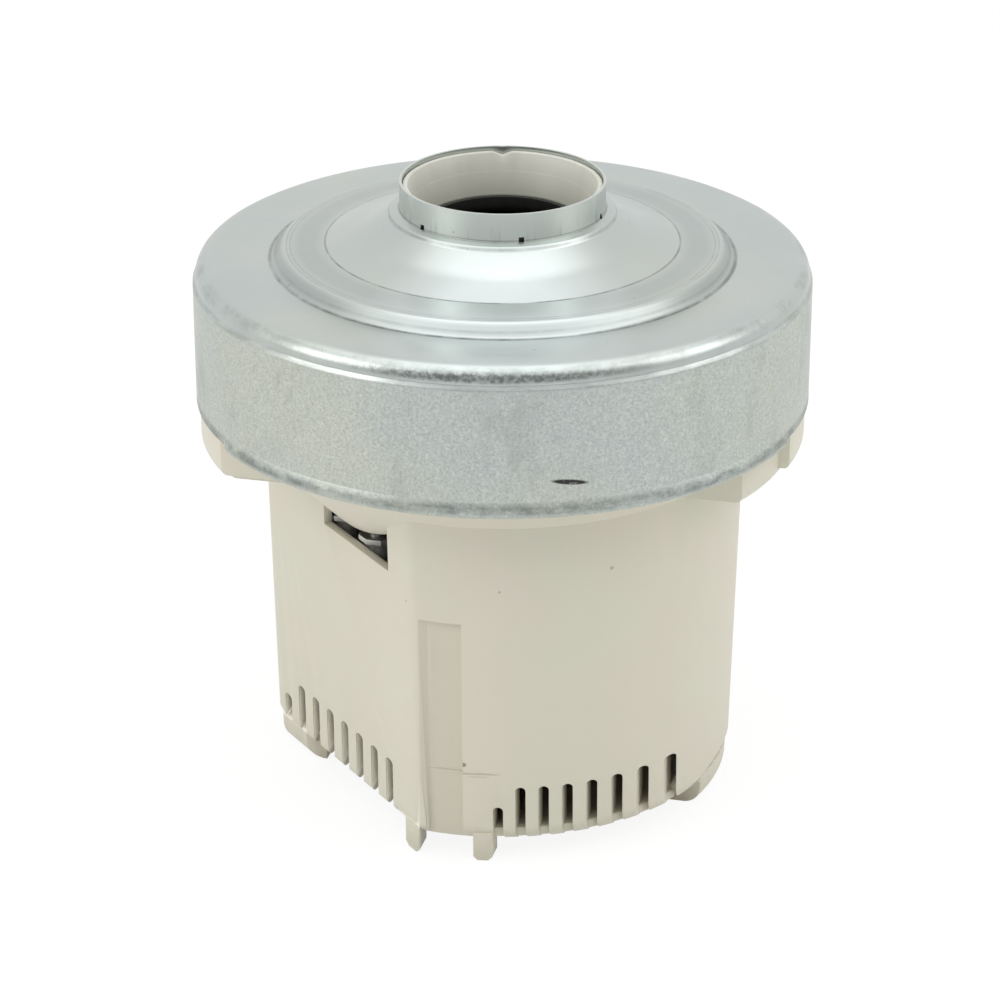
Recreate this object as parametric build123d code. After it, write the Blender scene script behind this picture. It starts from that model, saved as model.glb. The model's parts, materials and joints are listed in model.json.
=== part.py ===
from build123d import *
import math
import os

os.makedirs("parts", exist_ok=True)

# A flow-through vacuum cleaner motor that stands on its legs, inlet up.
# Millimetres, +Z up, origin on the motor's axis at the ground under the legs.

# Values shared by several pieces
overrun = 5.0            # how far a cutting tool runs past the material
fit_gap = 0.02           # radial gap of a bore on a shaft or a ring in its seat
slip_gap = 0.08          # gap of a moulded or stamped piece in its place
run_gap = 0.3            # gap between a moving and a fixed piece
air_gap = 0.5            # between armature and pole shoes
far_reach = 400.0        # larger than the unit, for half-space cuts

# Fan cover, deep-drawn zinc-plated steel
cover_radius = 67.5
cover_wall = 0.6
rim_z = 89.3             # lowest edge of the cover above the ground
side_height = 28.3       # from the rim to the small step under the shoulder
side_step = 0.6          # how far the step narrows the cover
step_rise = 1.0
top_height = 33.0        # from the rim to the flat annulus
top_dip = 0.2            # the annulus sinks a little towards the middle
shoulder_fillet = 3.4
annulus_radius = 50.2    # inner edge of the flat annulus
riser_run = 2.3
riser_height = 2.8
ring_fillet = 1.6
crease_radius = 38.65    # crease between the raised ring and the cone
crease_rise = 0.5
cone_waist_radius = 31.0
cone_waist_rise = 2.8
cone_waist_fillet = 20.0
ledge_radius = 23.9      # top of the cone, at the collar's foot
ledge_rise = 4.0
ledge_fillet = 0.9
collar_radius = 22.0
collar_foot_rise = 0.8
collar_foot_fillet = 0.35
collar_height = 6.14
crimp_height = 2.4       # height of the rolled bead at the rim
bead_swell = 0.7         # how far the bead stands out of the side
bead_height_share = 0.5
curl_depth = 2.7         # how far the curled lip reaches in
curl_fillet = 0.5
plain_lift = 1.3         # the uncrimped rim ends this much higher
plain_flare = 0.15       # its trimmed edge stands out a little
band_height = 4.0        # lowest band of the side, made sector by sector
plain_start_deg = 32.8   # where the uncrimped stretch begins, from -Y towards +X
plain_span_deg = 54.9
foot_window_count = 6
foot_window_width = 1.5
foot_window_height = 1.1
foot_window_first_deg = -21.0

# Inlet seal ring, moulded, inside the collar
seal_wall = 1.0
seal_drop = 0.85         # below the collar's top edge
seal_lip_fillet = 0.45
seal_step_drop = 4.6
seal_step = 0.5
seal_throat_radius = 17.5
seal_throat_length = 1.0
seal_length = 9.8
seal_flange_radius = 24.2
seal_flange_thickness = 1.1
seal_flange_drop = 2.3   # flange top below the collar's foot

# Motor housing, moulded thermoset
base_z = 4.3             # lowest edge of the walls above the ground
arc_radius = 51.9        # at the lowest edge
flat_half_width = 41.1   # at the lowest edge
draft_deg = 1.3
corner_fillet = 3.0
base_fillet = 4.2
housing_wall = 2.0
floor_thickness = 2.5
funnel_radius = 62.2     # where the 45 degree funnel would meet the rim's height
flange_thickness = 5.4
curl_gap = 0.1
window_low = 24.1        # window's lower edge below the rim
window_near = 22.9       # window's edges along the flat
window_far = 5.5
lug_radius = 64.4        # deep lug, under the rim
lug_depth = 9.0
lug_near = 26.3
lug_far = 39.5
ear_depth = 7.5          # shallow ear, as wide as the flange
ear_near = 9.5
ear_far = 41.8
ear_fillet = 1.2
funnel_root_drop = 30.0
slot_count = 7
slot_pitch = 4.75
slot_width = 2.2
slot_top = 18.3          # above the ground
short_slot_top = 13.4
front_slot_first = 16.1  # distance of the first slot from the diagonal plane
front_short_slot = 11.4
side_slot_first = 15.0
slot_depth = 5.5         # from the outer wall
side_slot_depth = 8.0
comb_wall = 4.2          # thicker wall that carries the combs
side_comb_wall = 6.6     # on the flats
side_comb_near = 23.0
side_comb_far = 30.0
comb_band = 1.5          # of thick wall above the slots
channel_half_width = 3.9
channel_depth = 1.3
channel_top = 57.8
leg_offset = 8.1
leg_width = 4.1
leg_depth = 4.4
leg_chamfer = 0.9
foot_inset = 0.6
foot_half_width = 14.5
foot_fillet = 3.6
foot_near = 38.0
corner_lift_start = 46.0
corner_lift_deg = 40.0
post_low = 21.0          # underside of the posts for the stator, above the combs
hub_radius = 12.4
hub_drop = 1.6           # hub floor below the housing floor's underside
hub_floor = 1.6
hub_rim = 0.6            # hub wall above the bearing
floor_slot_inner = 16.5
floor_slot_outer = 33.0
floor_slot_width = 3.4
floor_slot_spread_deg = 18.0

# Shaft and bearings, standard sizes
shaft_radius = 4.0
shaft_core_radius = 5.0  # thicker stretch that carries the armature and the upper bearing's shoulder
journal_radius = 3.5
journal_clearance = 0.4
upper_ring_radius = 11.0
upper_ring_width = 7.0
upper_ball_radius = 1.98
lower_ring_radius = 9.5
lower_ring_width = 6.0
lower_ball_radius = 1.75
ball_count = 7
ball_gap = 0.03
ring_wall_share = 0.24   # ring thickness as a share of the bearing's radial depth
ring_chamfer = 0.5
cage_rim = 0.35          # cage above and below the balls
cage_wall = 0.7
shield_wall = 0.3
washer_height = 0.5
washer_wave_wall = 1.6

# Armature
armature_radius = 21.5
stack_low = 34.0         # underside of both lamination stacks above the ground
stack_height = 26.0
armature_slot_count = 22
armature_slot_depth = 8.0
armature_slot_width = 2.4
armature_slot_mouth = 1.2
armature_tip = 1.2
winding_gap = 0.1
winding_overhang = 6.2
winding_inner_radius = 8.2
winding_edge_fillet = 1.5
commutator_radius = 12.2
commutator_length = 12.0
commutator_gap = 1.0     # above the lower bearing's hub
hub_sleeve_radius = 8.6
bar_gap = 0.45
riser_length = 1.6
riser_step = 1.0

# Stator
stator_gap = 0.9         # to the housing's wall
yoke_width = 6.0
pole_half_width = 12.0
shoe_thickness = 4.5
shoe_half_deg = 62.0
stator_screw_edge = 3.2  # in from the stator's outside
stator_screw_deg = 20.0  # from the Y axis
stator_screw_radius = 1.8
stator_head_radius = 3.6
stator_head_height = 2.6
stator_screw_bite = 11.0
post_radius = 4.2
bobbin_wall = 0.8
bobbin_flange = 0.8
coil_start_gap = 0.4
coil_width = 7.0
coil_corner = 2.5
bobbin_lip = 0.5

# Brush gear along the diagonal
brush_width = 6.0
brush_height = 8.6
brush_length = 25.0
brush_slide_gap = 0.06
tube_wall = 0.8
tube_start_gap = 2.4     # tube's inner end from the commutator
spring_space = 7.4
spring_radius = 2.1
spring_wire = 0.35
spring_turns = 5
lead_radius = 0.6
holder_half_width = 6.6
holder_wall = 1.6
holder_start = 24.0
terminal_thickness = 0.8
terminal_width = 6.3
terminal_rise = 0.3      # above the floor's underside
terminal_slot_gap = 0.6
brush_screw_radius = 1.5
brush_screw_head = 2.8
brush_screw_head_height = 1.8
brush_screw_offset = 9.6
brush_screw_reach = 31.0
brush_screw_bite = 2.3
ear_pad_radius = 4.2
ear_pad_height = 4.0

# Bearing bracket, stamped steel
bracket_wall = 1.2
bracket_z = 66.5         # top face of its ears
bracket_top_hole = 8.2
bracket_ring_radius = 26.2
bracket_foot_radius = 24.0
bracket_cup_top = 92.7
bracket_cup_skirt = 0.9
bracket_fillet = 1.0
bracket_cup_fillet = 0.3 # inside the cup's closed end
ear_x = 36.0
ear_y = 7.2
ear_half = 4.0
bracket_arm_half = 3.4
bracket_window_inner = 14.5
bracket_window_outer = 22.5
arm_half_deg = 16.0
spacer_radius = 2.9
rivet_radius = 1.6
rivet_head_radius = 2.1
rivet_head_height = 0.5
rivet_bite = 8.0
rivet_hollow_radius = 1.1
rivet_hollow_depth = 3.0

# Impeller and diffuser
impeller_radius = 56.0
impeller_wall = 1.1
impeller_back_z = 107.6  # underside of the back plate
impeller_hub_radius = 10.6
impeller_hub_height = 1.4
impeller_eye_radius = 17.1
impeller_exit_height = 10.6
impeller_eye_top = 129.4
shroud_throat_rise = 16.6
shroud_waist_radius = 29.0
shroud_waist_rise = 13.4
shroud_fillet = 3.6
shroud_waist_fillet = 14.0
blade_count = 9
blade_wall = 1.2
blade_inner = 19.0
blade_outer = 55.0
blade_middle = 36.0
blade_middle_deg = 27.0
blade_outer_deg = 52.0
spacer_sleeve_radius = 6.2
nut_across_flats = 13.0
nut_height = 6.5
nut_washer_radius = 10.0
nut_washer_height = 1.2
shaft_end_length = 2.0
diffuser_plate_radius = 60.5
diffuser_plate_z = 103.5
diffuser_plate_thickness = 1.8
diffuser_hole_radius = 9.0
diffuser_base_thickness = 1.5
diffuser_base_inner = 59.4
guide_inner_radius = 57.6
guide_top = 117.4
vane_count = 15
vane_wall = 1.3
guide_turn_deg = 20.0
guide_middle_share = 0.4
return_inner_radius = 34.0
return_turn_deg = 34.0
return_middle_share = 0.42
diffuser_screw_count = 3
diffuser_screw_radius = 1.4
diffuser_head_radius = 2.4
diffuser_head_height = 1.6
diffuser_screw_bite = 4.4
screw_phase_deg = 17.0

# Levels and radii worked out from the values above
collar_foot_z = (rim_z + top_height - top_dip + riser_height + crease_rise + cone_waist_rise
                 + ledge_rise + collar_foot_rise)
collar_top_z = collar_foot_z + collar_height
flange_radius = cover_radius - cover_wall - slip_gap
ear_radius = flange_radius - slip_gap
flange_low = rim_z + cover_wall + curl_gap
funnel_inner = funnel_radius - housing_wall * math.sqrt(2)
flange_high = flange_low + flange_thickness
floor_top = base_z + floor_thickness
hub_low = base_z - hub_drop
washer_z = hub_low + hub_floor
lower_bearing_z = washer_z + washer_height
hub_high = lower_bearing_z + lower_ring_width + hub_rim
commutator_z = hub_high + commutator_gap
stack_high = stack_low + stack_height
upper_bearing_z = bracket_cup_top - bracket_wall - upper_ring_width
brush_z = commutator_z + (commutator_length - riser_length) / 2
tube_start = commutator_radius + tube_start_gap
brush_start = commutator_radius + run_gap
brush_end = brush_start + brush_length
spring_end = brush_end + spring_space
impeller_front_z = impeller_back_z + impeller_wall
hub_face_z = impeller_front_z + impeller_hub_height
bore_radius = armature_radius + air_gap
stator_radius = arc_radius - housing_wall - stator_gap
stator_flat = flat_half_width - housing_wall - stator_gap
stator_screw_circle = stator_radius - stator_screw_edge
stator_inner = stator_radius - yoke_width
stator_inner_flat = stator_flat - yoke_width
pole_start = bore_radius + shoe_thickness
diffuser_radius = flange_radius - run_gap
diffuser_screw_circle = (flange_radius + funnel_inner) / 2
comb_top = slot_top + comb_band


def at_angle(radius, degrees, z=0.0):
    """Point at a bearing counted from -Y towards +X."""
    turn = math.radians(degrees)
    return (radius * math.sin(turn), -radius * math.cos(turn), z)


def moved_line(start, end, distance):
    """The two ends of a line moved sideways to its left."""
    along = (end[0] - start[0], end[1] - start[1])
    length = math.hypot(*along)
    side = (-along[1] / length * distance, along[0] / length * distance)
    return (start[0] + side[0], start[1] + side[1]), (end[0] + side[0], end[1] + side[1])


def moved_corner(first, second):
    """Where two moved lines cross."""
    (x1, y1), (x2, y2) = first
    (x3, y3), (x4, y4) = second
    d1 = (x2 - x1, y2 - y1)
    d2 = (x4 - x3, y4 - y3)
    cross = d1[0] * d2[1] - d1[1] * d2[0]
    share = ((x3 - x1) * d2[1] - (y3 - y1) * d2[0]) / cross
    return (x1 + d1[0] * share, y1 + d1[1] * share)


def beside(points, distance):
    """The open outline that runs beside another one, on its left."""
    lines = [moved_line(a, b, distance) for a, b in zip(points, points[1:])]
    corners = [moved_corner(a, b) for a, b in zip(lines, lines[1:])]
    return [lines[0][0], *corners, lines[-1][1]]


def turns_left(before, corner, after):
    """Whether an outline turns to its left at a corner."""
    d1 = (corner[0] - before[0], corner[1] - before[1])
    d2 = (after[0] - corner[0], after[1] - corner[1])
    return d1[0] * d2[1] - d1[1] * d2[0] > 0


def rounded_line(points, radii):
    """Open outline with its corners rounded, on the plane of radius and height."""
    flat = [Vector(radius, 0, z) for radius, z in points]
    return FilletPolyline(*flat, radius=radii) if len(points) > 2 else Line(*flat)


def sheet_section(points, radii, wall):
    """Section of a pressed sheet: the outline and its copy one wall to the left."""
    inner_radii = []
    for before, corner, after, radius in zip(points, points[1:], points[2:], radii):
        inner_radii.append(radius - wall if turns_left(before, corner, after) else radius + wall)
    outer = rounded_line(points, radii)
    inner = rounded_line(beside(points, wall), inner_radii)
    ends = [Line(outer @ 1, inner @ 1), Line(inner @ 0, outer @ 0)]
    return make_face([*outer.edges(), *inner.edges(), *ends])


def polygon_section(points):
    """Closed outline on the plane of radius and height."""
    flat = [Vector(radius, 0, z) for radius, z in points]
    return make_face(Polyline(*flat, close=True).edges())


def spun(section, start_deg=0.0, span_deg=360.0):
    """A section turned about the motor's axis from a bearing counted from -Y."""
    return Rot(0, 0, start_deg - 90.0) * revolve(section, Axis.Z, span_deg)


def ring(outer, inner, low, high):
    """Plain ring about the axis."""
    return spun(polygon_section([(inner, low), (outer, low), (outer, high), (inner, high)]))


def disc(radius, low, high, x=0.0, y=0.0):
    """Upright cylinder between two heights."""
    plate = Cylinder(radius, high - low, align=(Align.CENTER, Align.CENTER, Align.MIN))
    return Pos(x, y, low) * plate


def block(x_low, x_high, y_low, y_high, z_low, z_high):
    """Box between six limits."""
    solid = Box(x_high - x_low, y_high - y_low, z_high - z_low, align=(Align.MIN, Align.MIN, Align.MIN))
    return Pos(x_low, y_low, z_low) * solid


def diagonal(solid, end=0):
    """Turns +X onto the brush diagonal, and to its far end for end 1."""
    return Rot(0, 0, -135.0 + 180.0 * end) * solid


def write(solid, name):
    """Writes a node and prints its volume."""
    solid.label = name
    export_step(solid, f"parts/{name}.step")
    print(name, "volume", round(solid.volume, 1))


def cover_outline(low_z):
    """Outside of the fan cover from its side up to the collar, and its corner radii."""
    top_z = rim_z + top_height
    dip_z = top_z - top_dip
    ring_z = dip_z + riser_height
    crease_z = ring_z + crease_rise
    waist_z = crease_z + cone_waist_rise
    ledge_z = waist_z + ledge_rise
    points = [
        (cover_radius, low_z),
        (cover_radius, rim_z + side_height),
        (cover_radius - side_step, rim_z + side_height + step_rise),
        (cover_radius - side_step, top_z),
        (annulus_radius, dip_z),
        (annulus_radius - riser_run, ring_z),
        (crease_radius, crease_z),
        (cone_waist_radius, waist_z),
        (ledge_radius, ledge_z),
        (collar_radius, collar_foot_z),
        (collar_radius, collar_top_z),
    ]
    step_fillet = side_step
    radii = [step_fillet + cover_wall, step_fillet, shoulder_fillet, ring_fillet, ring_fillet,
             ring_fillet, cone_waist_fillet, ledge_fillet, collar_foot_fillet]
    return points, radii


def make_cover():
    """Drawn cover: one turned sheet, a rim crimped in two stretches, windows at the collar's foot."""
    band_z = rim_z + band_height
    points, radii = cover_outline(band_z)
    cover = spun(sheet_section(points, radii, cover_wall))
    bead_z = rim_z + crimp_height * bead_height_share
    crimp_points = [
        (cover_radius, band_z),
        (cover_radius, rim_z + crimp_height),
        (cover_radius + bead_swell, bead_z),
        (cover_radius, rim_z),
        (cover_radius - curl_depth, rim_z),
    ]
    crimp_radii = [curl_fillet, curl_fillet + cover_wall, curl_fillet + cover_wall]
    crimp = sheet_section(crimp_points[::-1], crimp_radii[::-1], cover_wall)
    plain_points = [(cover_radius + plain_flare, rim_z + plain_lift), (cover_radius, rim_z + crimp_height),
                    (cover_radius, band_z)]
    plain = sheet_section(plain_points, [curl_fillet], cover_wall)
    for turn in (0.0, 180.0):
        start = plain_start_deg + turn
        cover += spun(plain, start, plain_span_deg)
        cover += spun(crimp, start + plain_span_deg, 180.0 - plain_span_deg)
    for number in range(foot_window_count):
        spin = foot_window_first_deg + number * 360.0 / foot_window_count
        cutter = block(collar_radius - cover_wall - overrun, collar_radius + overrun, -foot_window_width / 2,
                       foot_window_width / 2, collar_foot_z, collar_foot_z + foot_window_height)
        cover -= Rot(0, 0, spin - 90.0) * cutter
    return cover


def make_seal_ring():
    """Moulded ring with a rounded lip, a step inside and a tapered throat."""
    outer = collar_radius - cover_wall - slip_gap
    top_z = collar_top_z - seal_drop
    low_z = top_z - seal_length
    flange_z = collar_foot_z - seal_flange_drop
    step_z = top_z - seal_step_drop
    mouth = outer - seal_wall
    share = seal_step_drop / (seal_length - seal_throat_length)
    step_radius = mouth + (seal_throat_radius - mouth) * share
    section = polygon_section([
        (mouth, top_z), (outer, top_z), (outer, flange_z), (seal_flange_radius, flange_z),
        (seal_flange_radius, flange_z - seal_flange_thickness), (outer, low_z), (seal_throat_radius, low_z),
        (seal_throat_radius, low_z + seal_throat_length), (step_radius, step_z - seal_step),
        (step_radius + seal_step, step_z),
    ])
    ring_solid = spun(section)
    lip = [edge for edge in ring_solid.edges() if abs(edge.center().Z - top_z) < slip_gap]
    return fillet(lip, seal_lip_fillet)


def body_outline(inset=0.0):
    """Plan of the housing: a circle cut by two flats, its corners rounded."""
    shape = Circle(arc_radius - inset) & Rectangle(2 * (flat_half_width - inset), far_reach)
    return fillet(shape.vertices(), max(corner_fillet - inset, slip_gap))


def body_prism(inset, low, high):
    """The housing's plan drawn upwards with the mould's draft."""
    spread = (low - base_z) * math.tan(math.radians(draft_deg))
    shape = Pos(0, 0, low) * body_outline(inset - spread)
    return extrude(shape, high - low, taper=-draft_deg)


def comb_cutters():
    """Slots along the diagonal with round tops, cut through the arc's wall and the flat's thicker one."""
    arc_core = body_prism(slot_depth, -2 * overrun, slot_top + overrun)
    flat_core = body_prism(side_slot_depth, -2 * overrun, slot_top + overrun)
    cutters = []
    front = [(front_slot_first + number * slot_pitch, slot_top) for number in range(slot_count)]
    side = [(-side_slot_first - number * slot_pitch, slot_top) for number in range(slot_count)]
    short = [(front_short_slot, short_slot_top), (-side_slot_first - slot_count * slot_pitch, short_slot_top)]
    for offset, top in [*front, *side, *short]:
        straight = block(0, arc_radius + overrun, offset - slot_width / 2, offset + slot_width / 2,
                         -overrun, top - slot_width / 2)
        crown = Rot(0, 90, 0) * Cylinder(slot_width / 2, arc_radius + overrun,
                                         align=(Align.CENTER, Align.CENTER, Align.MIN))
        cutter = straight + Pos(0, offset, top - slot_width / 2) * crown
        core = arc_core if offset > 0 else flat_core
        cutters.extend(diagonal(cutter, end) - core for end in (0, 1))
    return cutters


def flange_lug(radius, depth, near, far):
    """Block that hangs from the flange along the feet's diagonal, cut to the flange's round."""
    low = rim_z - depth
    slab = block(0, far_reach, -near, far, low, flange_low + curl_gap)
    lug = disc(radius, low, flange_low + curl_gap) & slab
    low_edges = [edge for edge in lug.edges() if abs(edge.center().Z - low) < slip_gap]
    round_edges = [edge for edge in low_edges if edge.geom_type == GeomType.CIRCLE]
    return Rot(0, 0, -45.0) * fillet(round_edges, ear_fillet)


def make_shell():
    """Body, funnel, flange and lugs, hollowed out, with the two side windows."""
    body = body_prism(0, base_z, flange_low)
    low_edges = [edge for edge in body.edges() if abs(edge.center().Z - base_z) < slip_gap]
    body = fillet(low_edges, base_fillet)
    funnel_low = rim_z - funnel_root_drop
    funnel_foot = funnel_radius - funnel_root_drop
    funnel = spun(polygon_section([(0, funnel_low), (funnel_foot, funnel_low), (funnel_radius, rim_z),
                                   (funnel_radius, flange_low), (0, flange_low)]))
    body += funnel
    body += disc(flange_radius, flange_low, flange_high)
    for turn in (0, 180):
        body += Rot(0, 0, turn) * flange_lug(lug_radius, lug_depth, lug_near, lug_far)
        body += Rot(0, 0, turn) * flange_lug(ear_radius, ear_depth, ear_near, ear_far)
    void_high = flange_high + overrun
    body -= body_prism(comb_wall, floor_top, comb_top)
    body -= body_prism(housing_wall, comb_top, void_high)
    body -= spun(polygon_section([(0, funnel_low), (funnel_inner - funnel_root_drop, funnel_low),
                                  (funnel_inner, rim_z), (funnel_inner, void_high), (0, void_high)]))
    rib = block(-flat_half_width, side_comb_wall - flat_half_width, -side_comb_near, side_comb_far,
                floor_top, comb_top)
    window = block(-flat_half_width - 2 * overrun, overrun - flat_half_width, -window_near, window_far,
                   rim_z - window_low, flange_low) - funnel
    lift = block(-far_reach, far_reach, -far_reach, far_reach, -far_reach, 0)
    lift = Rot(0, 0, -45.0) * Pos(corner_lift_start, 0, base_z) * Rot(0, -corner_lift_deg, 0) * lift
    for turn in (0, 180):
        body += Rot(0, 0, turn) * rib
        body -= Rot(0, 0, turn) * window
        body -= Rot(0, 0, turn) * lift
    return body


def make_legs():
    """Four legs that flank the channels, flush with the wall, their lower corners chamfered."""
    rim = body_prism(0, 0, floor_top) - body_prism(leg_depth, -overrun, floor_top + overrun)
    half = leg_width / 2
    outline = Polyline((-half, floor_top), (-half, leg_chamfer), (leg_chamfer - half, 0),
                       (half - leg_chamfer, 0), (half, leg_chamfer), (half, floor_top), close=True)
    slab = extrude(Plane.YZ * make_face(outline.edges()), far_reach)
    legs = []
    for end in (0, 1):
        for side in (-1, 1):
            legs.append(rim & diagonal(Pos(0, side * leg_offset, 0) * slab, end))
    return legs


def make_feet():
    """Two rounded feet on the other diagonal, inset from the wall."""
    prism = body_prism(foot_inset, 0, floor_top)
    rim_edges = [edge for edge in prism.edges() if abs(edge.center().Z) < slip_gap]
    prism = fillet(rim_edges, foot_fillet)
    slab = block(foot_near, far_reach, -foot_half_width, foot_half_width, 0, floor_top)
    return [Rot(0, 0, turn) * slab & prism for turn in (-45.0, 135.0)]


def stator_screw_places():
    """Plan places of the four screws that hold the stator on its posts."""
    turn = math.radians(stator_screw_deg)
    x = stator_screw_circle * math.sin(turn)
    y = stator_screw_circle * math.cos(turn)
    return [(x, y), (-x, y), (-x, -y), (x, -y)]


def make_posts():
    """Posts under the stator, each joined to the wall by a web."""
    posts = []
    for x, y in stator_screw_places():
        post = disc(post_radius, post_low, stack_low, x, y)
        web = block(0, post_radius + overrun, -post_radius, post_radius, post_low, stack_low)
        web = Pos(x, y, 0) * Rot(0, 0, math.degrees(math.atan2(y, x))) * web
        pilot = disc(stator_screw_radius + fit_gap, stack_low - stator_screw_bite, stack_low + overrun, x, y)
        posts.append((post + web) & body_prism(housing_wall / 2, floor_top, stack_high))
        posts[-1] -= pilot
    return posts


def floor_openings():
    """Cutters through the floor: air slots round the hub, terminal slots, screw holes."""
    cutters = []
    reach = floor_slot_outer - floor_slot_inner
    for quarter in range(4):
        for step in (-1, 0, 1):
            slot = extrude(Pos((floor_slot_inner + floor_slot_outer) / 2, 0, base_z - overrun)
                           * SlotOverall(reach, floor_slot_width), floor_thickness + 2 * overrun)
            cutters.append(Rot(0, 0, 90.0 * quarter + floor_slot_spread_deg * step) * slot)
    half = terminal_width / 2 + terminal_slot_gap
    for end in (0, 1):
        slot = block(spring_end - terminal_slot_gap, spring_end + terminal_thickness + terminal_slot_gap,
                     -half, half, -overrun, floor_top + overrun)
        cutters.append(diagonal(slot, end))
        for side in (-1, 1):
            hole = disc(brush_screw_radius + fit_gap, floor_top - brush_screw_bite, floor_top + overrun,
                        brush_screw_reach, side * brush_screw_offset)
            cutters.append(diagonal(hole, end))
    return cutters


def channel_cutters():
    """Upright channels down the brush diagonal, as deep at the top as at the foot."""
    face = arc_radius - channel_depth
    lean = (channel_top - base_z) * math.tan(math.radians(draft_deg))
    outline = Polyline((face, 0, base_z), (face + lean, 0, channel_top), (arc_radius + overrun, 0, channel_top),
                       (arc_radius + overrun, 0, -overrun), (face, 0, -overrun), close=True)
    section = make_face(outline.edges())
    cutter = extrude(section, channel_half_width, both=True)
    return [diagonal(cutter, end) for end in (0, 1)]


def make_housing():
    """Housing moulded in one: shell, posts, hub, feet and legs, then combs, channels and floor openings."""
    housing = make_shell()
    for post in make_posts():
        housing += post
    housing += disc(hub_radius, hub_low, hub_high)
    housing -= disc(lower_ring_radius + fit_gap, washer_z, hub_high + overrun)
    housing -= [*comb_cutters(), *channel_cutters(), *floor_openings()]
    for piece in (*make_legs(), *make_feet()):
        housing += piece
    return housing


def make_flange_holes():
    """Pilot holes in the flange for the diffuser's screws."""
    holes = []
    for number in range(diffuser_screw_count):
        x, y, _ = at_angle(diffuser_screw_circle, screw_phase_deg + number * 360.0 / diffuser_screw_count)
        holes.append(disc(diffuser_screw_radius + fit_gap, flange_high - diffuser_screw_bite,
                          flange_high + overrun, x, y))
    return holes


def bearing_ring(seat, track, low, width, pitch, ball):
    """One ring of a ball bearing, chamfered at its seat, with its ball groove."""
    cut = math.copysign(ring_chamfer, track - seat)
    section = polygon_section([
        (seat, low + ring_chamfer), (seat + cut, low), (track, low), (track, low + width),
        (seat + cut, low + width), (seat, low + width - ring_chamfer),
    ])
    return spun(section) - Pos(0, 0, low + width / 2) * Torus(pitch, ball + ball_gap)


def make_bearing(name, low, outer, bore, width, ball):
    """A deep-groove bearing: two rings, balls, cage and shields, each a node."""
    depth = outer - bore
    pitch = (outer + bore) / 2
    thickness = depth * ring_wall_share
    middle = low + width / 2
    write(bearing_ring(outer, outer - thickness, low, width, pitch, ball), f"{name}_bearing_outer_ring")
    inner_ring = bearing_ring(bore + fit_gap, bore + thickness, low, width, pitch, ball)
    write(inner_ring, f"{name}_bearing_inner_ring")
    half = ball + ball_gap + cage_rim
    cage = ring(pitch + cage_wall / 2, pitch - cage_wall / 2, middle - half, middle + half)
    balls = []
    pockets = []
    for number in range(ball_count):
        place = Rot(0, 0, number * 360.0 / ball_count) * Pos(0, -pitch, middle)
        balls.append(place * Sphere(ball))
        pockets.append(place * Rot(90, 0, 0) * Cylinder(ball + ball_gap, 2 * cage_wall))
    write(Compound(children=balls), f"{name}_bearing_balls")
    write(cage - pockets, f"{name}_bearing_cage")
    shield = ring(outer - thickness - fit_gap, bore + thickness + run_gap, low + shield_wall,
                  low + 2 * shield_wall)
    rise = width - 3 * shield_wall
    write(Compound(children=[shield, Pos(0, 0, rise) * shield]), f"{name}_bearing_shields")


def make_wave_washer():
    """Spring washer under the lower bearing, a ring that waves between its two heights."""
    return ring(lower_ring_radius - slip_gap, lower_ring_radius - washer_wave_wall, washer_z, lower_bearing_z)


def make_shaft():
    """Stepped shaft with a threaded end, plain here."""
    commutator_top = commutator_z + commutator_length
    end_z = hub_face_z + nut_washer_height + nut_height + shaft_end_length
    section = polygon_section([
        (0, washer_z + journal_clearance), (journal_radius, washer_z + journal_clearance),
        (journal_radius, lower_bearing_z + lower_ring_width),
        (shaft_radius, lower_bearing_z + lower_ring_width), (shaft_radius, commutator_top),
        (shaft_core_radius, commutator_top), (shaft_core_radius, upper_bearing_z),
        (shaft_radius, upper_bearing_z), (shaft_radius, end_z), (0, end_z),
    ])
    return spun(section)


def slot_tools(width, mouth, depth_gap):
    """Plan of one armature slot: a deep part and a narrow mouth, drawn along +X."""
    low = armature_radius - armature_slot_depth
    high = armature_radius - armature_tip
    deep = Pos((low + high) / 2, 0) * Rectangle(high - low - 2 * depth_gap, width)
    if not mouth:
        return deep
    return deep + Pos(high, 0) * Rectangle(2 * armature_tip + overrun, mouth)


def make_armature_core():
    """Lamination stack with its winding slots."""
    plan = Circle(armature_radius) - Circle(shaft_core_radius + fit_gap)
    tool = slot_tools(armature_slot_width, armature_slot_mouth, 0)
    plan -= [Rot(0, 0, number * 360.0 / armature_slot_count) * tool for number in range(armature_slot_count)]
    return extrude(Pos(0, 0, stack_low) * plan, stack_height)


def make_armature_winding():
    """Wire in the slots and two rounded end bundles."""
    tool = slot_tools(armature_slot_width - 2 * winding_gap, 0, winding_gap)
    low = stack_low - winding_overhang / 2
    plan = Sketch() + [Rot(0, 0, number * 360.0 / armature_slot_count) * tool
                       for number in range(armature_slot_count)]
    winding = extrude(Pos(0, 0, low) * plan, stack_height + winding_overhang)
    outer = armature_radius - armature_tip - winding_gap
    for low, high, far in ((stack_low - winding_overhang, stack_low - winding_gap, -1),
                           (stack_high + winding_gap, stack_high + winding_overhang, 1)):
        bundle = ring(outer, winding_inner_radius, low, high)
        far_z = low if far < 0 else high
        edges = [edge for edge in bundle.edges() if abs(edge.center().Z - far_z) < fit_gap]
        edges = [edge for edge in edges if edge.geom_type == GeomType.CIRCLE]
        winding += fillet(edges, winding_edge_fillet)
    return winding


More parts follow.
